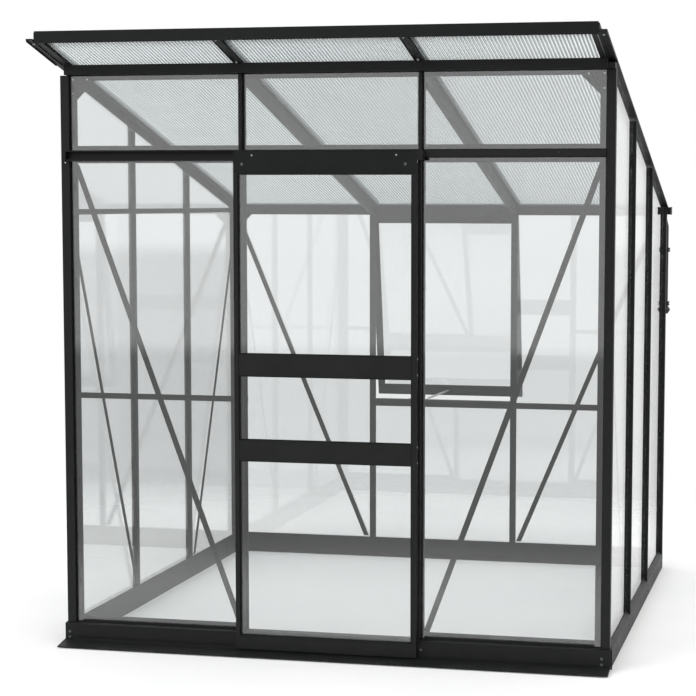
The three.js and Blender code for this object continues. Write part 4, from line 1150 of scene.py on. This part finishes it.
class GREENHOUSE_OT_stage(bpy.types.Operator):
    """Set up the camera, the floor and the soft studio light"""

    bl_idname = "greenhouse.stage"
    bl_label = "Set the stage"

    def execute(self, context):
        settings = context.scene.greenhouse_stage
        context.scene.view_settings.view_transform = "Standard"
        add_camera(settings)
        add_floor(settings)
        light_room()
        front, right, top = settings.front_power, settings.right_power, settings.top_power
        add_softbox("front_softbox", (-2.5, -5.5, 4.5), (0, 0, 1), 3.5, 2.5, front)
        add_softbox("right_softbox", (5.5, 1.0, 3.5), (0, 0, 0.8), 3.0, 2.5, right)
        add_softbox("top_softbox", (0, 0.5, 5.5), (0, 0, 1), 4.0, 4.0, top)
        return {"FINISHED"}


class GREENHOUSE_PT_panel(bpy.types.Panel):
    """The greenhouse's settings and steps in the sidebar"""

    bl_label = "Lean-to greenhouse"
    bl_space_type = "VIEW_3D"
    bl_region_type = "UI"
    bl_category = "Greenhouse"

    def draw(self, context):
        for name, group in SETTINGS.items():
            for setting in group.__annotations__:
                self.layout.prop(getattr(context.scene, name), setting)
        for operator in OPERATORS:
            self.layout.operator(operator.bl_idname)


SETTINGS = {
    "greenhouse_finish": FinishSettings,
    "greenhouse_coat": CoatSettings,
    "greenhouse_sheets": SheetSettings,
    "greenhouse_clips": ClipSettings,
    "greenhouse_bolts": BoltSettings,
    "greenhouse_beads": BeadSettings,
    "greenhouse_stage": StageSettings,
}
OPERATORS = (
    GREENHOUSE_OT_coat,
    GREENHOUSE_OT_glaze,
    GREENHOUSE_OT_sheets,
    GREENHOUSE_OT_roof_seals,
    GREENHOUSE_OT_gable_lips,
    GREENHOUSE_OT_clips,
    GREENHOUSE_OT_gussets,
    GREENHOUSE_OT_bolts,
    GREENHOUSE_OT_beads,
    GREENHOUSE_OT_braces,
    GREENHOUSE_OT_door_trim,
    GREENHOUSE_OT_window_trim,
    GREENHOUSE_OT_sill_lines,
    GREENHOUSE_OT_downpipe_seals,
    GREENHOUSE_OT_stage,
)


def register():
    for cls in (*SETTINGS.values(), *OPERATORS, GREENHOUSE_PT_panel):
        bpy.utils.register_class(cls)
    for name, group in SETTINGS.items():
        setattr(bpy.types.Scene, name, PointerProperty(type=group))


def unregister():
    for name in SETTINGS:
        delattr(bpy.types.Scene, name)
    for cls in reversed((*SETTINGS.values(), *OPERATORS, GREENHOUSE_PT_panel)):
        bpy.utils.unregister_class(cls)


def main():
    register()
    bpy.ops.greenhouse.coat()
    bpy.ops.greenhouse.glaze()
    bpy.ops.greenhouse.sheets()
    bpy.ops.greenhouse.roof_seals()
    bpy.ops.greenhouse.gable_lips()
    bpy.ops.greenhouse.clips()
    bpy.ops.greenhouse.gussets()
    bpy.ops.greenhouse.bolts()
    bpy.ops.greenhouse.beads()
    bpy.ops.greenhouse.braces()
    bpy.ops.greenhouse.door_trim()
    bpy.ops.greenhouse.window_trim()
    bpy.ops.greenhouse.sill_lines()
    bpy.ops.greenhouse.downpipe_seals()
    bpy.ops.greenhouse.stage()
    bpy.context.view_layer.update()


if __name__ == "__main__":
    main()
